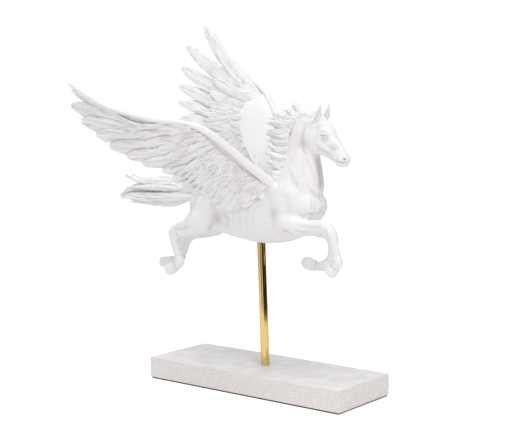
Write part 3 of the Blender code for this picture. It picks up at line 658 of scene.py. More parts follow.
class Clay:
    """The horse's skin, as points that tools push in and out. Where they push in, it keeps painted shade.
    """

    def __init__(self, mesh):
        self.points, self.facing = read(mesh)
        self.painted_shade = np.zeros(len(self.points))

    def near(self, low, high):
        inside = (self.points > low).all(axis=1) & (self.points < high).all(axis=1)
        return np.nonzero(inside)[0]

    def push(self, chosen, amount, depth):
        self.points[chosen] -= self.facing[chosen] * (amount * depth)[:, None]
        # Where the skin is pressed in, how deep it went is kept as painted shade for the groove
        if depth > 0:
            self.painted_shade[chosen] = np.maximum(self.painted_shade[chosen], amount * min(depth, 2.0))

    def hollow(self, centre, radius, depth):
        centre = np.array(centre, float)
        chosen = self.near(centre - radius, centre + radius)
        share = np.linalg.norm(self.points[chosen] - centre, axis=1) / radius
        self.push(chosen, np.clip(1 - share ** 2, 0, 1) ** 2, depth)

    def line(self, path, width, depth):
        """A soft groove along a path, fading out at both ends."""
        samples = smooth(path, LINE_POINTS)
        strength = np.clip(np.sin(np.linspace(0.06, 0.94, LINE_POINTS) * np.pi) * 1.5, 0, 1)
        chosen = self.near(samples.min(0) - width * 1.6, samples.max(0) + width * 1.6)
        if not len(chosen):
            return
        gap = np.linalg.norm(self.points[chosen][:, None] - samples[None], axis=2)
        amount = (np.clip(1 - (gap / (width * 1.15)) ** 2, 0, 1) ** 2 * strength).max(axis=1)
        self.push(chosen, amount, depth)

    def roughen(self):
        """The marks of hands, and brush strokes that stand upright on the neck and lie level below it."""
        hands = waves(self.points, 26, 7, 16, (1, 1, 1)) * 0.16
        upright = waves(self.points, 40, 1.9, 3.6, (1, 1, 0.2)) * 0.1
        level = waves(self.points, 40, 1.9, 3.8, (0.35, 1, 1)) * 0.055
        neck = np.clip((self.points[:, 2] - 40) / 15, 0, 1)
        strokes = upright * neck + level * (1 - neck)
        self.points -= self.facing * (hands + strokes)[:, None]
        # Brush strokes that sink in get a little painted shade too
        self.painted_shade = np.maximum(self.painted_shade, np.clip(strokes * 1.6, 0, 0.3))

    def band(self, centre, direction, radius, width, depth):
        """A groove round a leg, square to the way it runs."""
        centre = np.array(centre, float)
        chosen = self.near(centre - radius, centre + radius)
        offset = self.points[chosen] - centre
        share = (offset @ unit(np.array(direction, float))) / width
        self.push(chosen, np.exp(-share ** 2), depth)


def both_sides(points):
    """The points, and their mirror image on the horse's other side."""
    rows = np.array(points, float)
    return rows, rows * (1, -1, 1)


def shape_horse(clay):
    """Muscles, folds and the lines of the face."""
    for centre, radius, depth in HOLLOWS:
        for place in both_sides(centre):
            clay.hollow(place, radius, depth)
    for path, width, depth in FACE_LINES + NECK_LINES + TRUNK_LINES:
        for line in both_sides(path):
            clay.line(line, width, depth)
    for path, width, depth in LEG_LINES + (THROAT,):
        clay.line(path, width, depth)
    for place in both_sides(NOSTRIL):
        clay.hollow(place, *NOSTRIL_RIM)
        clay.hollow(place, *NOSTRIL_HOLE)


def shape_feet(clay):
    """Coronets, hoof rings, fetlocks and knees, each at its own place in a leg's rows."""
    for leg in LEGS:
        # The far forefoot's last row only rounds off its toe
        rows = np.array(leg[:-1] if leg is FAR_FORELEG else leg, float)[:, :3]
        toe = rows[-1] - rows[-2]
        crown = rows[-2] - toe * 0.32
        clay.band(crown, toe, 8.5, 0.9, 0.35)
        clay.band(crown + unit(toe) * 1.8, toe, 8.5, 1.0, -0.25)
        clay.band(rows[-3], rows[-2] - rows[-4], 6.5, 1.2, 0.75)
        clay.band(rows[-5], rows[-4] - rows[-6], 6.5, 1.6, 0.3)
        clay.hollow(rows[-1] + unit(toe) * 4.2, 4.2, 1.1)


def cut_socket(body):
    """The round hole in the belly that takes the rod's upper end. Half of the tool stays outside."""
    turn = Vector((0, 0, 1)).rotation_difference(ROD_DIRECTION).to_matrix().to_4x4()
    bm = bmesh.new()
    bmesh.ops.create_cone(bm, cap_ends=True, segments=64, radius1=SOCKET_RADIUS, radius2=SOCKET_RADIUS,
                          depth=SOCKET_DEPTH * 2, matrix=turn)
    mesh = bpy.data.meshes.new("socket_tool")
    bm.to_mesh(mesh)
    bm.free()
    tool = new_object("socket_tool", mesh)
    bore = body.modifiers.new("socket", "BOOLEAN")
    bore.operation = "DIFFERENCE"
    bore.solver = "EXACT"
    bore.object = tool
    settle(body)
    bpy.data.objects.remove(tool)


def make_body(surface):
    """Trunk, neck, head and legs, fused from oval bodies and then worked like clay."""
    shell = Shell()
    limb(shell, TRUNK, around=36)
    limb(shell, NECK, around=32)
    limb(shell, HEAD, around=28)
    for leg in LEGS:
        limb(shell, leg, around=22, end=0.02)
    for centre, radii, lean in MUSCLES:
        ball(shell, centre, radii, lean)
    body = new_object("horse_body", to_mesh("horse_body", shell))
    fuse(body, CLAY_VOXEL, CLAY_SMOOTHING)
    fuse(body, SKIN_VOXEL, 2)
    clay = Clay(body.data)
    shape_horse(clay)
    shape_feet(clay)
    clay.roughen()
    body.data.vertices.foreach_set("co", clay.points.astype(np.float32).ravel())
    # How deep each point was pressed in, kept for the surface as painted shade in its grooves and hollows
    keep_values(body.data, "hollow", clay.painted_shade)
    thin_out(body, BODY_TRIANGLES)
    cut_socket(body)
    return finish_piece(body, surface)


def make_face(surface):
    """Ears, eyeballs and lids, with a painted shadow on each eyeball under its upper lid."""
    shell = Shell()
    for rows in EARS:
        ear(shell, rows)
    for side in (1, -1):
        turn = np.array((1, side, 1, 1, 1))
        ball(shell, np.array(EYE) * turn[:3], EYE_RADII, EYE_LEAN)
        for path, thick in ((UPPER_LID, UPPER_LID_THICKNESS), (LOWER_LID, LOWER_LID_THICKNESS)):
            rows = []
            for k, point in enumerate(path):
                ends = 0.45 if k in (0, len(path) - 1) else 1.0
                rows.append((*point, thick * ends, thick * ends))
            limb(shell, np.array(rows) * turn, steps=8, around=14)
    face = new_object("face_details", to_mesh("face_details", shell))
    points = read(face.data)[0]
    points[:, 1] = np.abs(points[:, 1])
    from_eye = points - np.array(EYE)
    ball_share = np.linalg.norm(from_eye / (np.array(EYE_RADII) * 1.04), axis=1)
    # Painted shadow: a dark band across the eyeball just under the upper lid
    painted_lid_shadow = np.exp(-((from_eye[:, 2] - 0.55) / 0.6) ** 2) * (ball_share < 1)
    keep_values(face.data, "hollow", painted_lid_shadow * 2.8)
    return finish_piece(face, surface)


# Hair
def mane_lock(shell, root, tip, phase, deep, wide, ribs=5):
    """A lock from the crest to its tip in one flat wave."""
    rows = []
    for k in range(7):
        t = k / 6
        point = root + (tip - root) * t
        wave = math.sin(t * 1.75 * math.pi + phase) - math.sin(phase) * (1 - t)
        size = 1.0 if t < 0.5 else 1.0 - (t - 0.5) * 1.9
        rows.append((point[0], point[1], point[2] + wave * 1.15, deep * size, wide * size))
    lock(shell, rows, ribs, rng.uniform(-0.2, 0.2), 38, 26, 0.1)


def make_mane(surface):
    """A row of locks along the crest, with two rows down each side of the neck, over a solid core."""
    shell = Shell()
    share = np.linspace(0, 1, MANE_LOCKS)
    crest = at(MANE_CREST, share)
    tips = at(MANE_TIPS, share)
    roots = at(MANE_SIDE, share)
    core = [(x - 1.0, y, z - 2.0, 5.0, 6.5) for x, y, z in MANE_CREST]
    limb(shell, core, around=30)
    inner = np.linspace(0, 0.62, 9)[None, :, None]
    sheet = crest[:, None] * (1 - inner) + tips[:, None] * inner
    membrane(shell, sheet, np.zeros(sheet.shape) + (0.0, 1.0, 0.0), np.linspace(11.0, 4.0, 9))
    for k in range(MANE_LOCKS):
        phase = 2.6 + 0.5 * (k % 3)
        tuck = (0.0, 2.5, 1.2)[k % 3]
        deep = 3.0 if k < 3 else 3.8
        tip = tips[k] + np.array((tuck, 0, 0))
        mane_lock(shell, crest[k] + (2, 0, 0), tip, phase, deep, 3.2)
        for side in (-1, 1):
            low = roots[k] * (1, side, 1) - np.array((0.5, side * 1.6, 0))
            end = tip + np.array((1.5 + tuck * 0.6, side * rng.uniform(1.6, 2.8), rng.uniform(-1, 1)))
            end[1] = side * max(abs(end[1]), LOW_MANE_OUT * max(0.0, (share[k] - 0.65) / 0.35))
            mane_lock(shell, low, end, phase + rng.uniform(-0.3, 0.3), deep * 0.95, 2.4)
            short = low + (end - low) * rng.uniform(0.62, 0.8) + np.array((0, side * 1.2, -1.2))
            under = low + np.array((0.4, side * 0.5, -2.0))
            mane_lock(shell, under, short, phase + 0.5, deep * 0.55, 1.5, 3)
    for rows in FORELOCK:
        lock(shell, rows, 5, 0.2)
        lock(shell, np.array(rows) + (-1.0, 1.4 * np.sign(rows[0][1]), -0.8, -0.8, -0.8), 3, 0.2)
    return resin_piece("mane", shell, surface)


def make_tail(surface):
    """Broad locks, each with four slim ones that lie along it."""
    shell = Shell()
    for rows in TAIL_LOCKS:
        lock(shell, rows, 8, 0.25, 96, 48, 0.1)
        for n in range(4):
            side = 1 if n % 2 else -1
            shift = np.array((0, side * rng.uniform(2.0, 5.0), rng.uniform(-2, 2), 0, 0))
            slim = np.array(rows) * (1, 1, 1, 0.5, 0.42) + shift
            last = slim[-1, :3] * 0.94 + slim[-2, :3] * 0.06
            slim[-1] = (*last, 0.3, 0.3)
            lock(shell, slim, 4, 0.2, 70, 26, 0.12)
    return resin_piece("tail", shell, surface)


# Wings
def wing_lines(wing, stations, pull):
    """The wing's middle surface: the front edge above each root, and a line for each feather.

    Feathers start from the roots, drawn part of the way towards the front edge.
    """
    share = np.linspace(0, 1, len(wing.tips))
    edge = at(np.array(wing.lead)[1:6, :3], (1 - share) * 0.96)
    root = at(wing.roots, share)
    root = root + (edge - root) * pull
    s = np.linspace(0, 1, stations)
    lines = root[:, None] + (np.array(wing.tips, float) - root)[:, None] * s[None, :, None]
    lines[..., 2] -= np.array(wing.sag)[:, None] * np.sin(np.pi * s)[None, :] ** 1.2
    return edge, lines


def faces_out(lines, outward):
    """Which way the wing's surface faces at each point of its lines."""
    along = np.stack([directions(line) for line in lines])
    nxt = np.concatenate((lines[1:], lines[-1:]))
    prev = np.concatenate((lines[:1], lines[:-1]))
    facing = unit(np.cross(along, nxt - prev))
    flip = np.where((facing @ np.array(outward)) < 0, -1.0, 1.0)
    return facing * flip[..., None]


def blade_share(s, point, blunt):
    """How wide a feather is along its length, as a share of its full width."""
    spread = np.minimum(1.0, 0.6 + 1.1 * s)
    t = np.clip((s - point) / (1 - point), 0, 1)
    return spread * np.where(s < point, 1.0, np.maximum(np.sqrt(np.maximum(1 - t ** 2.4, 0)), blunt))


def splits(steps, count):
    """Small nicks where a feather's edge has parted."""
    edge = np.ones(steps)
    place = np.linspace(0, 1, steps)
    for n in range(count):
        middle = rng.uniform(0.45, 0.95)
        edge -= rng.uniform(0.06, 0.16) * np.exp(-((place - middle) / 0.012) ** 2)
    return edge


def feather(shell, line, facing, width, thick, tilt, tip, half_ring=15, nicks=2, barb=BARB_HEIGHT):
    """One feather: a thin cambered blade with a raised shaft and barbs that sweep back from it."""
    steps = len(line)
    along = directions(line)
    across = unit(np.cross(facing, along))
    up = np.cross(along, across)
    c, s = math.cos(tilt), math.sin(tilt)
    across, up = across * c + up * s, up * c - across * s
    place = np.linspace(0, 1, steps)
    half = width / 2 * blade_share(place, *tip)
    u = np.concatenate((np.linspace(-1, 1, half_ring), np.linspace(1, -1, half_ring)))
    side = np.repeat((1.0, -1.0), half_ring)
    left = half * splits(steps, nicks)
    right = half * splits(steps, nicks)
    x = np.where(u[None] < 0, left[:, None], right[:, None]) * u[None]
    far = measured(line)[:, None]
    barbs = np.sin((np.abs(x) * 1.15 - far * 0.28 + rng.uniform(0, 6)) * 2 * np.pi / BARB_SPACING)
    shaft = np.exp(-(x / SHAFT_WIDTH) ** 2) * (1 - 0.75 * place[:, None])
    body = thick / 2 * (0.32 + 0.68 * (1 - u[None] ** 4))
    calm = np.clip((1 - place) / 0.3, 0, 1)[:, None]
    height = body + SHAFT_HEIGHT * shaft + barb * barbs * calm * (1 - shaft) * (1 - u[None] ** 8)
    rings = line[:, None] + across[:, None] * x[..., None] + up[:, None] * (side * height)[..., None]
    ends = (line[0] - along[0] * 0.5, line[-1] + along[-1] * 0.4)
    shell.add(rings, ends, x, np.repeat(far, len(u), axis=1) + rng.uniform(0, 300))


def feather_width(i, fingers):
    """The width of a wing's feather number i, counted from the tip."""
    if i >= BLADES:
        return INNER_WIDTH
    if i == 0 and not fingers:
        return FIRST_WIDTH
    return FINGER_WIDTH if fingers and i < FINGERS else BLADE_WIDTH


def membrane(shell, front, facing, thick):
    """A thin web through rows of points, thick[k] at row k. It backs the feathers and the mane."""
    steps = front.shape[1]
    rings = []
    for k in range(steps):
        above = front[:, k] + facing[:, k] * thick[k] / 2
        below = front[:, k] - facing[:, k] * thick[k] / 2
        rings.append(np.concatenate((above, below[::-1])))
    rings = np.array(rings)
    ends = (rings[0].mean(0), rings[-1].mean(0))
    across = np.zeros(rings.shape[:2])
    along = np.repeat(np.linspace(0, 60, steps)[:, None], rings.shape[1], axis=1)
    shell.add(rings, ends, across, along)


def make_flight(name, wing, surface):
    """The long feathers of one wing."""
    shell = Shell()
    lines = wing_lines(wing, FLIGHT_POINTS, wing.pull)[1]
    facing = faces_out(lines, wing.outward)
    for i in range(len(wing.tips)):
        slim = i == 0 or (wing.fingers and i < FINGERS + 1)
        bend = wing.tilt * rng.uniform(0.9, 1.15)
        feather(shell, lines[i], facing[i], feather_width(i, wing.fingers), BLADE_THICKNESS, bend,
                SLIM_TIP if slim else BROAD_TIP, nicks=2 if i else 0, barb=BARB_HEIGHT if i else 0.0)
    return resin_piece(name, shell, surface, 50)


def make_coverts(name, wing, web_thickness, surface):
    """The rows of shorter feathers that lap over the long ones, on both sides of a wing."""
    shell = Shell()
    edge, lines = wing_lines(wing, COVERT_POINTS, wing.pull)
    facing = faces_out(lines, wing.outward)
    web = np.concatenate((edge[:, None], lines[:, :WEB_END:5]), axis=1)
    web_facing = np.concatenate((facing[:, :1], facing[:, :WEB_END:5]), axis=1)
    membrane(shell, web, web_facing, np.linspace(web_thickness, 1.2, web.shape[1]))
    feathers = len(wing.tips)
    for side in (1, -1):
        for last, lift, step in COVERT_ROWS:
            for i in range(2, feathers):
                middle = (lines[i] + lines[i - 1]) / 2 + facing[i] * (side * lift)
                part = slice(0, last + int(rng.integers(-2, 3)), step)
                bend = wing.tilt * rng.uniform(0.8, 1.3)
                feather(shell, middle[part], facing[i][part], feather_width(i, wing.fingers) * 0.8,
                        BLADE_THICKNESS * 0.9, bend, COVERT_TIP, 10, 1)
        for n in range(6, 2 * (feathers - 1)):
            i = n // 2
            middle = (lines[i] * (2 - n % 2) + lines[i + 1] * (n % 2)) / 2
            part = slice(0, int(rng.integers(44, 68) if wing.fingers else rng.integers(30, 52)), 2)
            bend = wing.tilt * side * rng.uniform(0.3, 0.9)
            middle = middle + facing[i] * (side * rng.uniform(1.7, 2.3))
            feather(shell, middle[part], facing[i][part], rng.uniform(7, 9.5), 1.5, bend, SMALL_TIP, 8, 1)
    return resin_piece(name, shell, surface, 50)


def make_scales(name, wing, start, surface):
    """Small pointed feathers near the shoulder, on the side of the wing that shows."""
    shell = Shell()
    lines = wing_lines(wing, COVERT_POINTS, wing.pull)[1]
    facing = faces_out(lines, wing.outward)
    for row, (first, length) in enumerate(SCALE_ROWS):
        for n in range(2 * start, 2 * (len(wing.tips) - 1)):
            place = (n + (row % 2) * 0.5) / 2
            i = int(place)
            t = place - i
            line = lines[i] * (1 - t) + lines[i + 1] * t
            out = unit(facing[i] * (1 - t) + facing[i + 1] * t)
            begin = max(0, first + int(rng.integers(-4, 5)))
            part = slice(begin, min(COVERT_POINTS - 1, begin + length), 2)
            blade = (line + out * (2.0 + 0.25 * row))[part]
            bend = wing.tilt * rng.uniform(0.8, 2.2)
            feather(shell, blade, out[part], rng.uniform(5.5, 7.5), 1.3, bend, SMALL_TIP, 9, 1)
    return resin_piece(name, shell, surface, 50)


def make_bar(name, lead, away, slim, surface):
    """The smooth bar that carries a wing's feathers. It lies along the front edge of the wing."""
    shell = Shell()
    rows = np.array(lead, float)
    share = np.array(slim, float)[:, None]
    rows[:, :3] += np.array(away, float) * rows[:, 3:4] * (1 - share)
    rows[:, 3:] *= share
    limb(shell, rows, steps=18, around=32)
    return resin_piece(name, shell, surface)


def make_shoulder_cover(surface):
    """The smooth skin behind the far wing's leading edge, ending in a step over the feathers."""
    shell = Shell()
    edge, lines = wing_lines(FAR_WING, 49, 0.0)
    facing = faces_out(lines, FAR_WING.outward)
    count = 110
    share = np.linspace(0.0, 0.96, count)
    reach = np.interp(share, (0.0, 0.1, 0.18, 0.4, 0.7, 1.0), (0.6, 1.6, 3.6, 5, 5, 4))
    ragged = reach + 0.5 * np.sin(share * 46) + 0.35 * np.sin(share * 113 + 1)
    rows = np.array([at(lines[:, k], share) for k in range(9)])
    low = np.clip(np.floor(ragged), 0, 7).astype(int)
    part = np.clip(ragged - low, 0, 1)[:, None]
    order = np.arange(count)
    border = rows[low, order] * (1 - part) + rows[low + 1, order] * part
    start = at(edge, share) + np.array((1.3, 0.05, 1.2))
    out = unit(at(facing[:, 1], share))
    steps = np.array((0.0, 0.15, 0.35, 0.55, 0.75, 0.88, 0.96, 1.0))
    height = np.array((1.5, 3.2, 4.3, 4.7, 4.5, 4.1, 3.5, 2.0))
    fade = np.interp(share, (0, 0.1, 0.2, 0.8, 1), (0.5, 0.85, 1, 1, 0.5))[:, None]
    rings = []
    for k in range(len(steps)):
        middle = start * (1 - steps[k]) + border * steps[k]
        seen = middle - out * height[k] * fade
        hidden = middle + out * 1.2
        rings.append(np.concatenate((seen, hidden[::-1])))
    rings = np.array(rings)
    across = np.zeros(rings.shape[:2])
    shell.add(rings, (rings[0].mean(0), rings[-1].mean(0)), across, across)
    cover = new_object("far_wing_cover", to_mesh("far_wing_cover", shell))
    soft = cover.modifiers.new("soften", "SUBSURF")
    soft.levels = 2
    soft.render_levels = 2
    settle(cover)
    return finish_piece(cover, surface)


# Surfaces: the colours of each material
RESIN = (0.868, 0.863, 0.875, 1.0)
RESIN_WARM = (0.825, 0.81, 0.805, 1.0)
# Painted light: a whiter resin for the pieces that lie in their own shade
PAINTED_LIGHT_WHITE = (0.965, 0.96, 0.965, 1.0)
# Painted shade: the colour that creases and fine lines are darkened towards
RESIN_SHADE = (0.50, 0.465, 0.455, 1.0)
RESIN_WARMTH = 0.7
# How close a surface must be to throw painted shade into a crease
CREASE_REACH = 0.0015
SAWN_DARK = (0.66, 0.62, 0.605, 1.0)
SAWN_PALE = (0.98, 0.945, 0.93, 1.0)
CRYSTAL_CORE = (0.56, 0.52, 0.51, 1.0)
HONED_GREY = (0.78, 0.757, 0.78, 1.0)
HONED_WHITE = (0.88, 0.87, 0.89, 1.0)
HONED_SPECK = (0.72, 0.70, 0.71, 1.0)
BRASS_BRIGHT = (0.83, 0.60, 0.24, 1.0)
BRASS_DULL = (0.70, 0.47, 0.17, 1.0)
ZINC_DARK = (0.56, 0.57, 0.56, 1.0)
ZINC_PALE = (0.68, 0.67, 0.63, 1.0)
FELT_DARK = (0.025, 0.028, 0.026, 1.0)
FELT_PALE = (0.085, 0.09, 0.085, 1.0)


class Nodes:
    """Short words for building a node tree."""

    def __init__(self, tree):
        self.tree = tree

    def add(self, kind, **settings):
        node = self.tree.nodes.new(kind)
        for name, value in settings.items():
            setattr(node, name, value)
        return node

    def feed(self, socket, value):
        if isinstance(value, bpy.types.NodeSocket):
            self.tree.links.new(value, socket)
        else:
            socket.default_value = value

    def math(self, operation, first, second=0.5):
        node = self.add("ShaderNodeMath", operation=operation)
        self.feed(node.inputs[0], first)
        self.feed(node.inputs[1], second)
        return node.outputs[0]

    def noise(self, place, scale, detail=3.0, rough=0.5):
        node = self.add("ShaderNodeTexNoise")
        self.feed(node.inputs["Vector"], place)
        node.inputs["Scale"].default_value = scale
        node.inputs["Detail"].default_value = detail
        node.inputs["Roughness"].default_value = rough
        return node.outputs[0]

    def stretch(self, place, scale, turn=(0, 0, 0)):
        node = self.add("ShaderNodeMapping")
        self.feed(node.inputs["Vector"], place)
        node.inputs["Scale"].default_value = scale
        node.inputs["Rotation"].default_value = turn
        return node.outputs[0]

    def span(self, value, low, high, start=0.0, end=1.0):
        """Turns low..high into start..end."""
        node = self.add("ShaderNodeMapRange")
        self.feed(node.inputs["Value"], value)
        node.inputs["From Min"].default_value = low
        node.inputs["From Max"].default_value = high
        node.inputs["To Min"].default_value = start
        node.inputs["To Max"].default_value = end
        return node.outputs[0]

    def blend(self, share, first, second):
        """The first colour where share is 0, the second where it is 1."""
        node = self.add("ShaderNodeMix", data_type="RGBA")
        self.feed(node.inputs[0], share)
        self.feed(node.inputs[6], first)
        self.feed(node.inputs[7], second)
        return node.outputs[2]

    def bump(self, height, distance, strength=1.0, normal=None):
        node = self.add("ShaderNodeBump")
        self.feed(node.inputs["Height"], height)
        node.inputs["Distance"].default_value = distance
        node.inputs["Strength"].default_value = strength
        if normal is not None:
            self.feed(node.inputs["Normal"], normal)
        return node.outputs[0]

    def value(self, name):
        """A value that the mesh keeps at each of its points."""
        return self.add("ShaderNodeAttribute", attribute_name=name).outputs["Fac"]

    def place(self):
        return self.add("ShaderNodeTexCoord").outputs["Object"]


def shade_group(name, build, given, outputs):
    """A node group that several surfaces share, each with its own value for the input given."""
    tree = bpy.data.node_groups.new(name, "ShaderNodeTree")
    tree.interface.new_socket(given, in_out="INPUT", socket_type="NodeSocketFloat")
    for title in outputs:
        tree.interface.new_socket(title, in_out="OUTPUT", socket_type="NodeSocketFloat")
    nodes = Nodes(tree)
    made = build(nodes, nodes.add("NodeGroupInput").outputs[given])
    end = nodes.add("NodeGroupOutput")
    for title, socket in zip(outputs, made):
        nodes.feed(end.inputs[title], socket)
    return tree


def painted_crease_shade(nodes, darkness):
    """Painted shade where the casting folds in on itself: 0 on open skin, and darkness in the creases,
    from how sharply the skin turns, how deep it was pressed in, and how shut in it is by surfaces close
    by.
    """
    fold = nodes.add("ShaderNodeNewGeometry").outputs["Pointiness"]
    tight = nodes.span(fold, 0.495, 0.43)
    tight = nodes.math("MULTIPLY", tight, 0.5)
    painted_shade = nodes.math("MULTIPLY", nodes.value("hollow"), 0.6)
    shut_in = nodes.add("ShaderNodeAmbientOcclusion", samples=6)
    shut_in.inputs["Distance"].default_value = CREASE_REACH
    closed = nodes.span(shut_in.outputs["AO"], 0.8, 0.05)
    deepest = nodes.math("MAXIMUM", nodes.math("MAXIMUM", tight, painted_shade), closed)
    return (nodes.math("MULTIPLY", deepest, darkness),)


def brushwork(nodes, warmth):
    """Streaks left by a wide soft brush, and the small grain of the cast. Some streaks are warmer."""
    place = nodes.place()
    long = nodes.noise(nodes.stretch(place, (90, 420, 420), (0, 0.5, 0)), 1.0, 4.0, 0.6)
    wide = nodes.noise(nodes.stretch(place, (220, 60, 260)), 1.0, 3.0)
    grain = nodes.noise(place, 1500.0, 2.0)
    height = nodes.math("ADD", nodes.math("MULTIPLY", long, 0.6), nodes.math("MULTIPLY", wide, 0.3))
    height = nodes.math("ADD", height, nodes.math("MULTIPLY", grain, 0.12))
    tone = nodes.span(long, 0.3, 0.7)
    return height, tone, nodes.math("MULTIPLY", tone, warmth)


def thin_lines(nodes, fine, coarse):
    """Thin wandering lines where either of two uneven fields crosses its middle value."""
    from_fine = nodes.math("ABSOLUTE", nodes.math("SUBTRACT", fine, 0.5))
    from_coarse = nodes.math("ABSOLUTE", nodes.math("SUBTRACT", coarse, 0.47))
    thinner = nodes.span(from_fine, 0.0, 0.03, 0.6, 0.0)
    wider = nodes.span(from_coarse, 0.008, 0.042, 1.0, 0.0)
    return nodes.math("MAXIMUM", thinner, wider)


def combed(nodes, across, along, detail):
    """An uneven field stretched the way a feather or a lock runs."""
    join = nodes.add("ShaderNodeCombineXYZ")
    nodes.feed(join.inputs[0], nodes.math("MULTIPLY", nodes.value("across"), across))
    nodes.feed(join.inputs[1], nodes.math("MULTIPLY", nodes.value("along"), along))
    return nodes.noise(join.outputs[0], 1.0, detail, 0.55)


def barb_lines(nodes, darkness):
    """Fine lines that sweep back from a feather's shaft, and wrinkles along the feather. The wrinkles are
    pressed in and darkened with painted shade.
    """
    across = nodes.math("ABSOLUTE", nodes.value("across"))
    along = nodes.value("along")
    sweep = nodes.math("MULTIPLY", across, 1.1)
    sweep = nodes.math("SUBTRACT", sweep, nodes.math("MULTIPLY", along, 0.25))
    wobble = nodes.noise(nodes.stretch(nodes.place(), (120, 120, 120)), 1.0, 2.0)
    sweep = nodes.math("ADD", sweep, nodes.math("MULTIPLY", wobble, 1.6))
    fine = nodes.math("SINE", nodes.math("MULTIPLY", sweep, 4.2))
    finer = nodes.math("SINE", nodes.math("MULTIPLY", sweep, 10.0))
    barbs = nodes.math("ADD", nodes.math("MULTIPLY", fine, 0.3), nodes.math("MULTIPLY", finer, 0.12))
    wrinkles = thin_lines(nodes, combed(nodes, 0.6, 0.03, 0.0), combed(nodes, 0.42, 0.02, 1.0))
    return nodes.math("SUBTRACT", barbs, wrinkles), nodes.math("MULTIPLY", wrinkles, darkness)


def hair_lines(nodes, darkness):
    """Fine lines that run the way the hair lies, with wrinkles pressed in and darkened with painted shade.
    """
    hairs = combed(nodes, 3.2, 0.05, 3.0)
    wrinkles = thin_lines(nodes, combed(nodes, 0.8, 0.04, 1.0), combed(nodes, 0.4, 0.025, 1.0))
    return nodes.math("SUBTRACT", hairs, wrinkles), nodes.math("MULTIPLY", wrinkles, darkness)


def use_group(nodes, tree, value):
    """Places a shared group, with this surface's own value."""
    node = nodes.add("ShaderNodeGroup", node_tree=tree)
    node.inputs[0].default_value = value
    return node.outputs


def new_surface(name):
    made = bpy.data.materials.new(name)
    made.use_nodes = True
    nodes = Nodes(made.node_tree)
    return made, nodes, made.node_tree.nodes["Principled BSDF"]


def white_resin(name, groups, shading, lift=0.0, lines=None, depth=0.0, painted_line_shade=0.0):
    """Satin white resin with brushed streaks, with painted shade in its creases and fine lines. Lift
    paints it whiter, for pieces that lie in their own shade.
    """
    made, nodes, skin = new_surface(name)
    streaks = use_group(nodes, groups["brushwork"], RESIN_WARMTH)
    painted_darkening = use_group(nodes, groups["painted_crease_shade"], shading)[0]
    tone = nodes.blend(streaks["Warm"], RESIN, RESIN_WARM)
    # Painted light: pieces that lie in their own shade are made whiter by lift
    tone = nodes.blend(lift, tone, PAINTED_LIGHT_WHITE)
    normal = nodes.bump(streaks["Height"], 0.0005, 0.6)
    if lines is not None:
        combing = use_group(nodes, lines, painted_line_shade)
        painted_darkening = nodes.math("MAXIMUM", painted_darkening, combing["Lines"])
        normal = nodes.bump(combing["Height"], depth, 0.6, normal)
    # Painted shade: the colour is darkened towards RESIN_SHADE in creases and fine lines
    nodes.feed(skin.inputs["Base Color"], nodes.blend(painted_darkening, tone, RESIN_SHADE))
    nodes.feed(skin.inputs["Roughness"], nodes.span(streaks["Tone"], 0.0, 1.0, 0.40, 0.52))
    nodes.feed(skin.inputs["Normal"], normal)
    skin.inputs["Specular IOR Level"].default_value = 0.35
    return made


def marble():
    """Crushed white marble: smooth on top, coarse and speckled on its sawn sides."""
    made, nodes, skin = new_surface("honed_marble")
    place = nodes.place()
    facing = nodes.add("ShaderNodeSeparateXYZ")
    nodes.feed(facing.inputs[0], nodes.add("ShaderNodeTexCoord").outputs["Normal"])
    top = nodes.span(facing.outputs[2], 0.6, 0.95)
    grain = nodes.noise(place, 1500.0, 3.0, 0.65)
    coarse = nodes.noise(place, 700.0, 3.0, 0.6)
    cloud = nodes.noise(place, 60.0, 4.0, 0.65)
    crystal = nodes.add("ShaderNodeTexVoronoi")
    nodes.feed(crystal.inputs["Vector"], place)
    crystal.inputs["Scale"].default_value = 1100.0
    speck = nodes.math("ADD", nodes.math("MULTIPLY", grain, 0.6), nodes.math("MULTIPLY", coarse, 0.4))
    side_tone = nodes.blend(nodes.span(speck, 0.38, 0.62), SAWN_DARK, SAWN_PALE)
    core = nodes.span(crystal.outputs["Distance"], 0.0, 0.3, 0.3, 0.0)
    side_tone = nodes.blend(core, side_tone, CRYSTAL_CORE)
    top_tone = nodes.blend(nodes.span(cloud, 0.35, 0.65), HONED_GREY, HONED_WHITE)
    top_tone = nodes.blend(nodes.span(grain, 0.55, 0.75, 0.0, 0.5), top_tone, HONED_SPECK)
    nodes.feed(skin.inputs["Base Color"], nodes.blend(top, side_tone, top_tone))
    nodes.feed(skin.inputs["Roughness"], nodes.span(top, 0.0, 1.0, 0.75, 0.5))
    height = nodes.math("ADD", grain, nodes.math("MULTIPLY", coarse, 0.8))
    rough = nodes.math("MULTIPLY", height, nodes.span(top, 0.0, 1.0, 1.0, 0.3))
    nodes.feed(skin.inputs["Normal"], nodes.bump(rough, 0.0009, 0.6))
    return made


def brass():
    """Polished brass bar with faint lengthwise scratches and a few dull patches."""
    made, nodes, skin = new_surface("polished_brass")
    place = nodes.place()
    scratches = nodes.noise(nodes.stretch(place, (2600, 2600, 12)), 1.0, 3.0)
    patches = nodes.noise(nodes.stretch(place, (60, 60, 30)), 1.0, 4.0, 0.6)
    dull = nodes.span(patches, 0.5, 0.75)
    worn = nodes.span(scratches, 0.3, 0.7, 0.04, 0.10)
    nodes.feed(skin.inputs["Base Color"], nodes.blend(dull, BRASS_BRIGHT, BRASS_DULL))
    nodes.feed(skin.inputs["Roughness"], nodes.math("ADD", worn, nodes.math("MULTIPLY", dull, 0.08)))
    skin.inputs["Metallic"].default_value = 1.0
    nodes.feed(skin.inputs["Normal"], nodes.bump(scratches, 0.00004, 0.4))
    return made


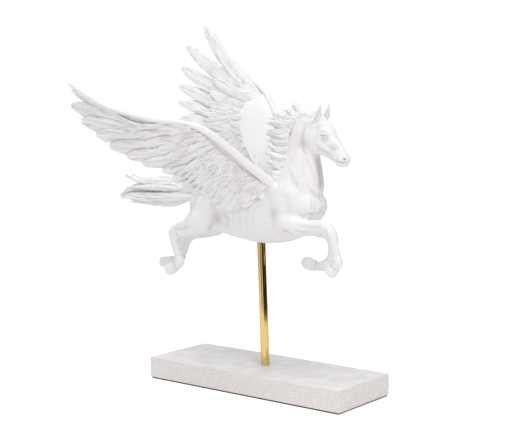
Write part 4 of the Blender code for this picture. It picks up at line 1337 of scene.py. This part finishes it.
def zinc():
    """Zinc plated steel with the rings a lathe leaves."""
    made, nodes, skin = new_surface("zinc_plated_steel")
    place = nodes.place()
    rings = nodes.noise(nodes.stretch(place, (300, 300, 5200)), 1.0, 2.0)
    spangle = nodes.noise(place, 700.0, 3.0)
    nodes.feed(skin.inputs["Base Color"], nodes.blend(spangle, ZINC_DARK, ZINC_PALE))
    nodes.feed(skin.inputs["Roughness"], nodes.span(rings, 0.3, 0.7, 0.28, 0.46))
    skin.inputs["Metallic"].default_value = 1.0
    nodes.feed(skin.inputs["Normal"], nodes.bump(rings, 0.00005, 0.5))
    return made


def felt():
    """Dark felt: matted fibres that cross at random."""
    made, nodes, skin = new_surface("dark_felt")
    place = nodes.place()
    one = nodes.noise(nodes.stretch(place, (3000, 500, 3000), (0, 0, 0.6)), 1.0, 2.0)
    two = nodes.noise(nodes.stretch(place, (500, 3000, 3000), (0, 0, -0.4)), 1.0, 2.0)
    fibres = nodes.math("MAXIMUM", one, two)
    nodes.feed(skin.inputs["Base Color"], nodes.blend(nodes.span(fibres, 0.4, 0.75), FELT_DARK, FELT_PALE))
    nodes.feed(skin.inputs["Roughness"], nodes.span(fibres, 0.3, 0.8, 0.98, 0.88))
    skin.inputs["Sheen Weight"].default_value = 0.3
    nodes.feed(skin.inputs["Normal"], nodes.bump(fibres, 0.0004, 0.7))
    return made


def dress(node, surface):
    """Gives a carried-over CAD piece its surface."""
    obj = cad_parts[node]
    obj.data.materials.clear()
    obj.data.materials.append(surface)


# Studio: soft light from all round, and a white floor a hair under the felt
AMBIENT = 0.735
AMBIENT_TONE = (1.0, 0.98, 0.975, 1.0)
PURE_WHITE = (1.0, 1.0, 1.0, 1.0)
PAPER_WHITE = (0.96, 0.96, 0.96, 1.0)
FLOOR_RADIUS = 14.0
FLOOR_GAP = 0.0002
FLOOR_LIFT = 0.44
SET_MIDDLE = (0.0, 0.0, 0.17)

# The key lamp stands at an azimuth, elevation and distance from the camera's target. The top lamp's
# place is in metres. Sizes are metres, powers are watts.
KEY_PLACE = (math.radians(60), math.radians(44), 1.6)
KEY_SIZE = 0.8
KEY_POWER = 6.6
TOP_PLACE = (-0.1, -0.2, 1.7)
TOP_SIZE = 0.9
TOP_POWER = 6.3

# Cards round the set: name, azimuth and distance of either end, how light it is, whether polished
# metal shows it, and whether it keeps soft light off the object
CARDS = (
    ("dark_card_front", (38, 0.6), (86, 0.58), 0.01, True, False),
    ("dark_card_side", (87, 0.58), (110, 0.58), 0.01, True, False),
    ("dark_card_back", (110, 0.58), (154, 0.58), 0.01, True, False),
    ("shade_card", (140, 0.62), (205, 0.62), 0.01, False, True),
    ("brown_card", (-12, 0.55), (16, 0.55), 0.12, True, False),
    ("edge_card", (-72, 0.55), (-50, 0.55), 0.14, True, False),
)
CARD_HEIGHT = 1.2

# The camera: the photo's width and the focal length, both in the photo's pixels, and sensor in mm
CAMERA_AZIMUTH = math.radians(38)
CAMERA_ELEVATION = math.radians(4.5)
CAMERA_DISTANCE = 1.0
CAMERA_TARGET = Vector((-0.0132, 0.0, 0.1668))
PHOTO_WIDTH = 509
FOCUS_PIXELS = 1057
SENSOR = 36.0


def white_backdrop():
    """Pure white behind the object and in reflections, softer light from all round."""
    world = bpy.data.worlds.new("white_studio")
    bpy.context.scene.world = world
    world.use_nodes = True
    nodes = Nodes(world.node_tree)
    world.node_tree.nodes.clear()
    seen = nodes.add("ShaderNodeLightPath")
    direct = nodes.math("MAXIMUM", seen.outputs["Is Camera Ray"], seen.outputs["Is Glossy Ray"])
    direct = nodes.math("MAXIMUM", direct, seen.outputs["Is Transmission Ray"])
    soft = nodes.add("ShaderNodeBackground")
    soft.inputs["Color"].default_value = AMBIENT_TONE
    soft.inputs["Strength"].default_value = AMBIENT
    clear = nodes.add("ShaderNodeBackground")
    clear.inputs["Color"].default_value = PURE_WHITE
    clear.inputs["Strength"].default_value = 1.0
    mix = nodes.add("ShaderNodeMixShader")
    nodes.feed(mix.inputs[0], direct)
    nodes.feed(mix.inputs[1], soft.outputs[0])
    nodes.feed(mix.inputs[2], clear.outputs[0])
    nodes.feed(nodes.add("ShaderNodeOutputWorld").inputs["Surface"], mix.outputs[0])


def white_floor():
    """White paper that the object stands on. It keeps a faint shadow."""
    bpy.ops.mesh.primitive_circle_add(vertices=96, radius=FLOOR_RADIUS, fill_type="NGON",
                                      location=(0, 0, -FLOOR_GAP))
    floor = bpy.context.object
    floor.name = "floor"
    made, nodes, skin = new_surface("white_paper")
    skin.inputs["Base Color"].default_value = PAPER_WHITE
    skin.inputs["Roughness"].default_value = 1.0
    skin.inputs["Specular IOR Level"].default_value = 0.0
    seen = nodes.add("ShaderNodeLightPath").outputs["Is Camera Ray"]
    skin.inputs["Emission Color"].default_value = PURE_WHITE
    nodes.feed(skin.inputs["Emission Strength"], nodes.math("MULTIPLY", seen, FLOOR_LIFT))
    floor.data.materials.append(made)


def lamp(name, place, aim, size, power):
    """A round soft lamp that points at its aim."""
    light = bpy.data.lights.new(name, "AREA")
    light.shape = "DISK"
    light.size = size
    light.energy = power
    obj = bpy.data.objects.new(name, light)
    bpy.context.scene.collection.objects.link(obj)
    obj.location = place
    obj.rotation_mode = "QUATERNION"
    obj.rotation_quaternion = (Vector(aim) - Vector(place)).to_track_quat("-Z", "Y")


def dark_card(name, start, end, shade, mirrored, blocks_light):
    """An upright card beside the set. The camera doesn't see it."""
    ends = []
    for azimuth, distance in (start, end):
        turn = math.radians(azimuth)
        ends.append(Vector((math.sin(turn) * distance, -math.cos(turn) * distance, 0.0)))
    bm = bmesh.new()
    up = Vector((0.0, 0.0, CARD_HEIGHT))
    bm.faces.new([bm.verts.new(p) for p in (ends[0], ends[1], ends[1] + up, ends[0] + up)])
    mesh = bpy.data.meshes.new(name)
    bm.to_mesh(mesh)
    bm.free()
    made, nodes, skin = new_surface(name)
    skin.inputs["Base Color"].default_value = (shade, shade, shade, 1.0)
    skin.inputs["Roughness"].default_value = 1.0
    mesh.materials.append(made)
    card = new_object(name, mesh)
    card.visible_camera = False
    card.visible_diffuse = blocks_light
    card.visible_glossy = mirrored
    card.visible_shadow = False
    card.visible_transmission = False


def from_target(azimuth, elevation, distance):
    """A place seen from the camera's target; azimuth 0 is straight at the horse's right side."""
    back = Vector((math.sin(azimuth) * math.cos(elevation), -math.cos(azimuth) * math.cos(elevation),
                   math.sin(elevation)))
    return CAMERA_TARGET + back * distance


def photo_camera():
    """The camera at the photo's viewing angle."""
    data = bpy.data.cameras.new("photo_camera")
    data.sensor_width = SENSOR
    data.lens = FOCUS_PIXELS / PHOTO_WIDTH * SENSOR
    camera = bpy.data.objects.new("photo_camera", data)
    bpy.context.scene.collection.objects.link(camera)
    camera.location = from_target(CAMERA_AZIMUTH, CAMERA_ELEVATION, CAMERA_DISTANCE)
    camera.rotation_mode = "QUATERNION"
    camera.rotation_quaternion = (CAMERA_TARGET - camera.location).to_track_quat("-Z", "Y")
    bpy.context.scene.camera = camera


def light_the_set():
    white_backdrop()
    white_floor()
    lamp("key", from_target(*KEY_PLACE), SET_MIDDLE, KEY_SIZE, KEY_POWER)
    lamp("top", TOP_PLACE, SET_MIDDLE, TOP_SIZE, TOP_POWER)
    for row in CARDS:
        dark_card(*row)


def make_surfaces():
    """The resin in four versions, each with its own strength of painted shade in creases and lines. The
    wing cover, feathers and hair are painted whiter to make up for the shade they lie in. With the node
    groups that they share.
    """
    groups = {
        "painted_crease_shade": shade_group("painted_crease_shade", painted_crease_shade, "Darkness", ("Mask",)),
        "brushwork": shade_group("brushwork", brushwork, "Warmth", ("Height", "Tone", "Warm")),
        "barbs": shade_group("barb_lines", barb_lines, "Darkness", ("Height", "Lines")),
        "hairs": shade_group("hair_lines", hair_lines, "Darkness", ("Height", "Lines")),
    }
    return {
        "skin": white_resin("resin_skin", groups, 0.65),
        "cover": white_resin("resin_wing_cover", groups, 0.5, 0.7),
        "feather": white_resin("resin_feathers", groups, 0.55, 0.6, groups["barbs"], 0.00035, 0.55),
        "hair": white_resin("resin_hair", groups, 0.2, 1.0, groups["hairs"], 0.00025, 0.45),
    }


def main():
    surfaces = make_surfaces()
    make_body(surfaces["skin"])
    make_face(surfaces["skin"])
    make_mane(surfaces["hair"])
    make_tail(surfaces["hair"])
    make_flight("near_flight_feathers", NEAR_WING, surfaces["feather"])
    make_coverts("near_coverts", NEAR_WING, NEAR_WEB_THICKNESS, surfaces["feather"])
    make_scales("near_scales", NEAR_WING, FIRST_SCALE, surfaces["feather"])
    make_flight("far_flight_feathers", FAR_WING, surfaces["feather"])
    make_coverts("far_coverts", FAR_WING, FAR_WEB_THICKNESS, surfaces["feather"])
    make_bar("near_wing_bar", NEAR_LEAD, NEAR_AWAY, NEAR_SLIM, surfaces["skin"])
    make_bar("far_wing_bar", FAR_LEAD, FAR_AWAY, FAR_SLIM, surfaces["skin"])
    make_shoulder_cover(surfaces["cover"])
    steel = zinc()
    dress("marble_base", marble())
    dress("support_rod", brass())
    dress("felt_pad", felt())
    dress("base_screw", steel)
    dress("screw_washer", steel)
    light_the_set()
    photo_camera()
    bpy.context.scene.view_settings.view_transform = "Standard"


main()
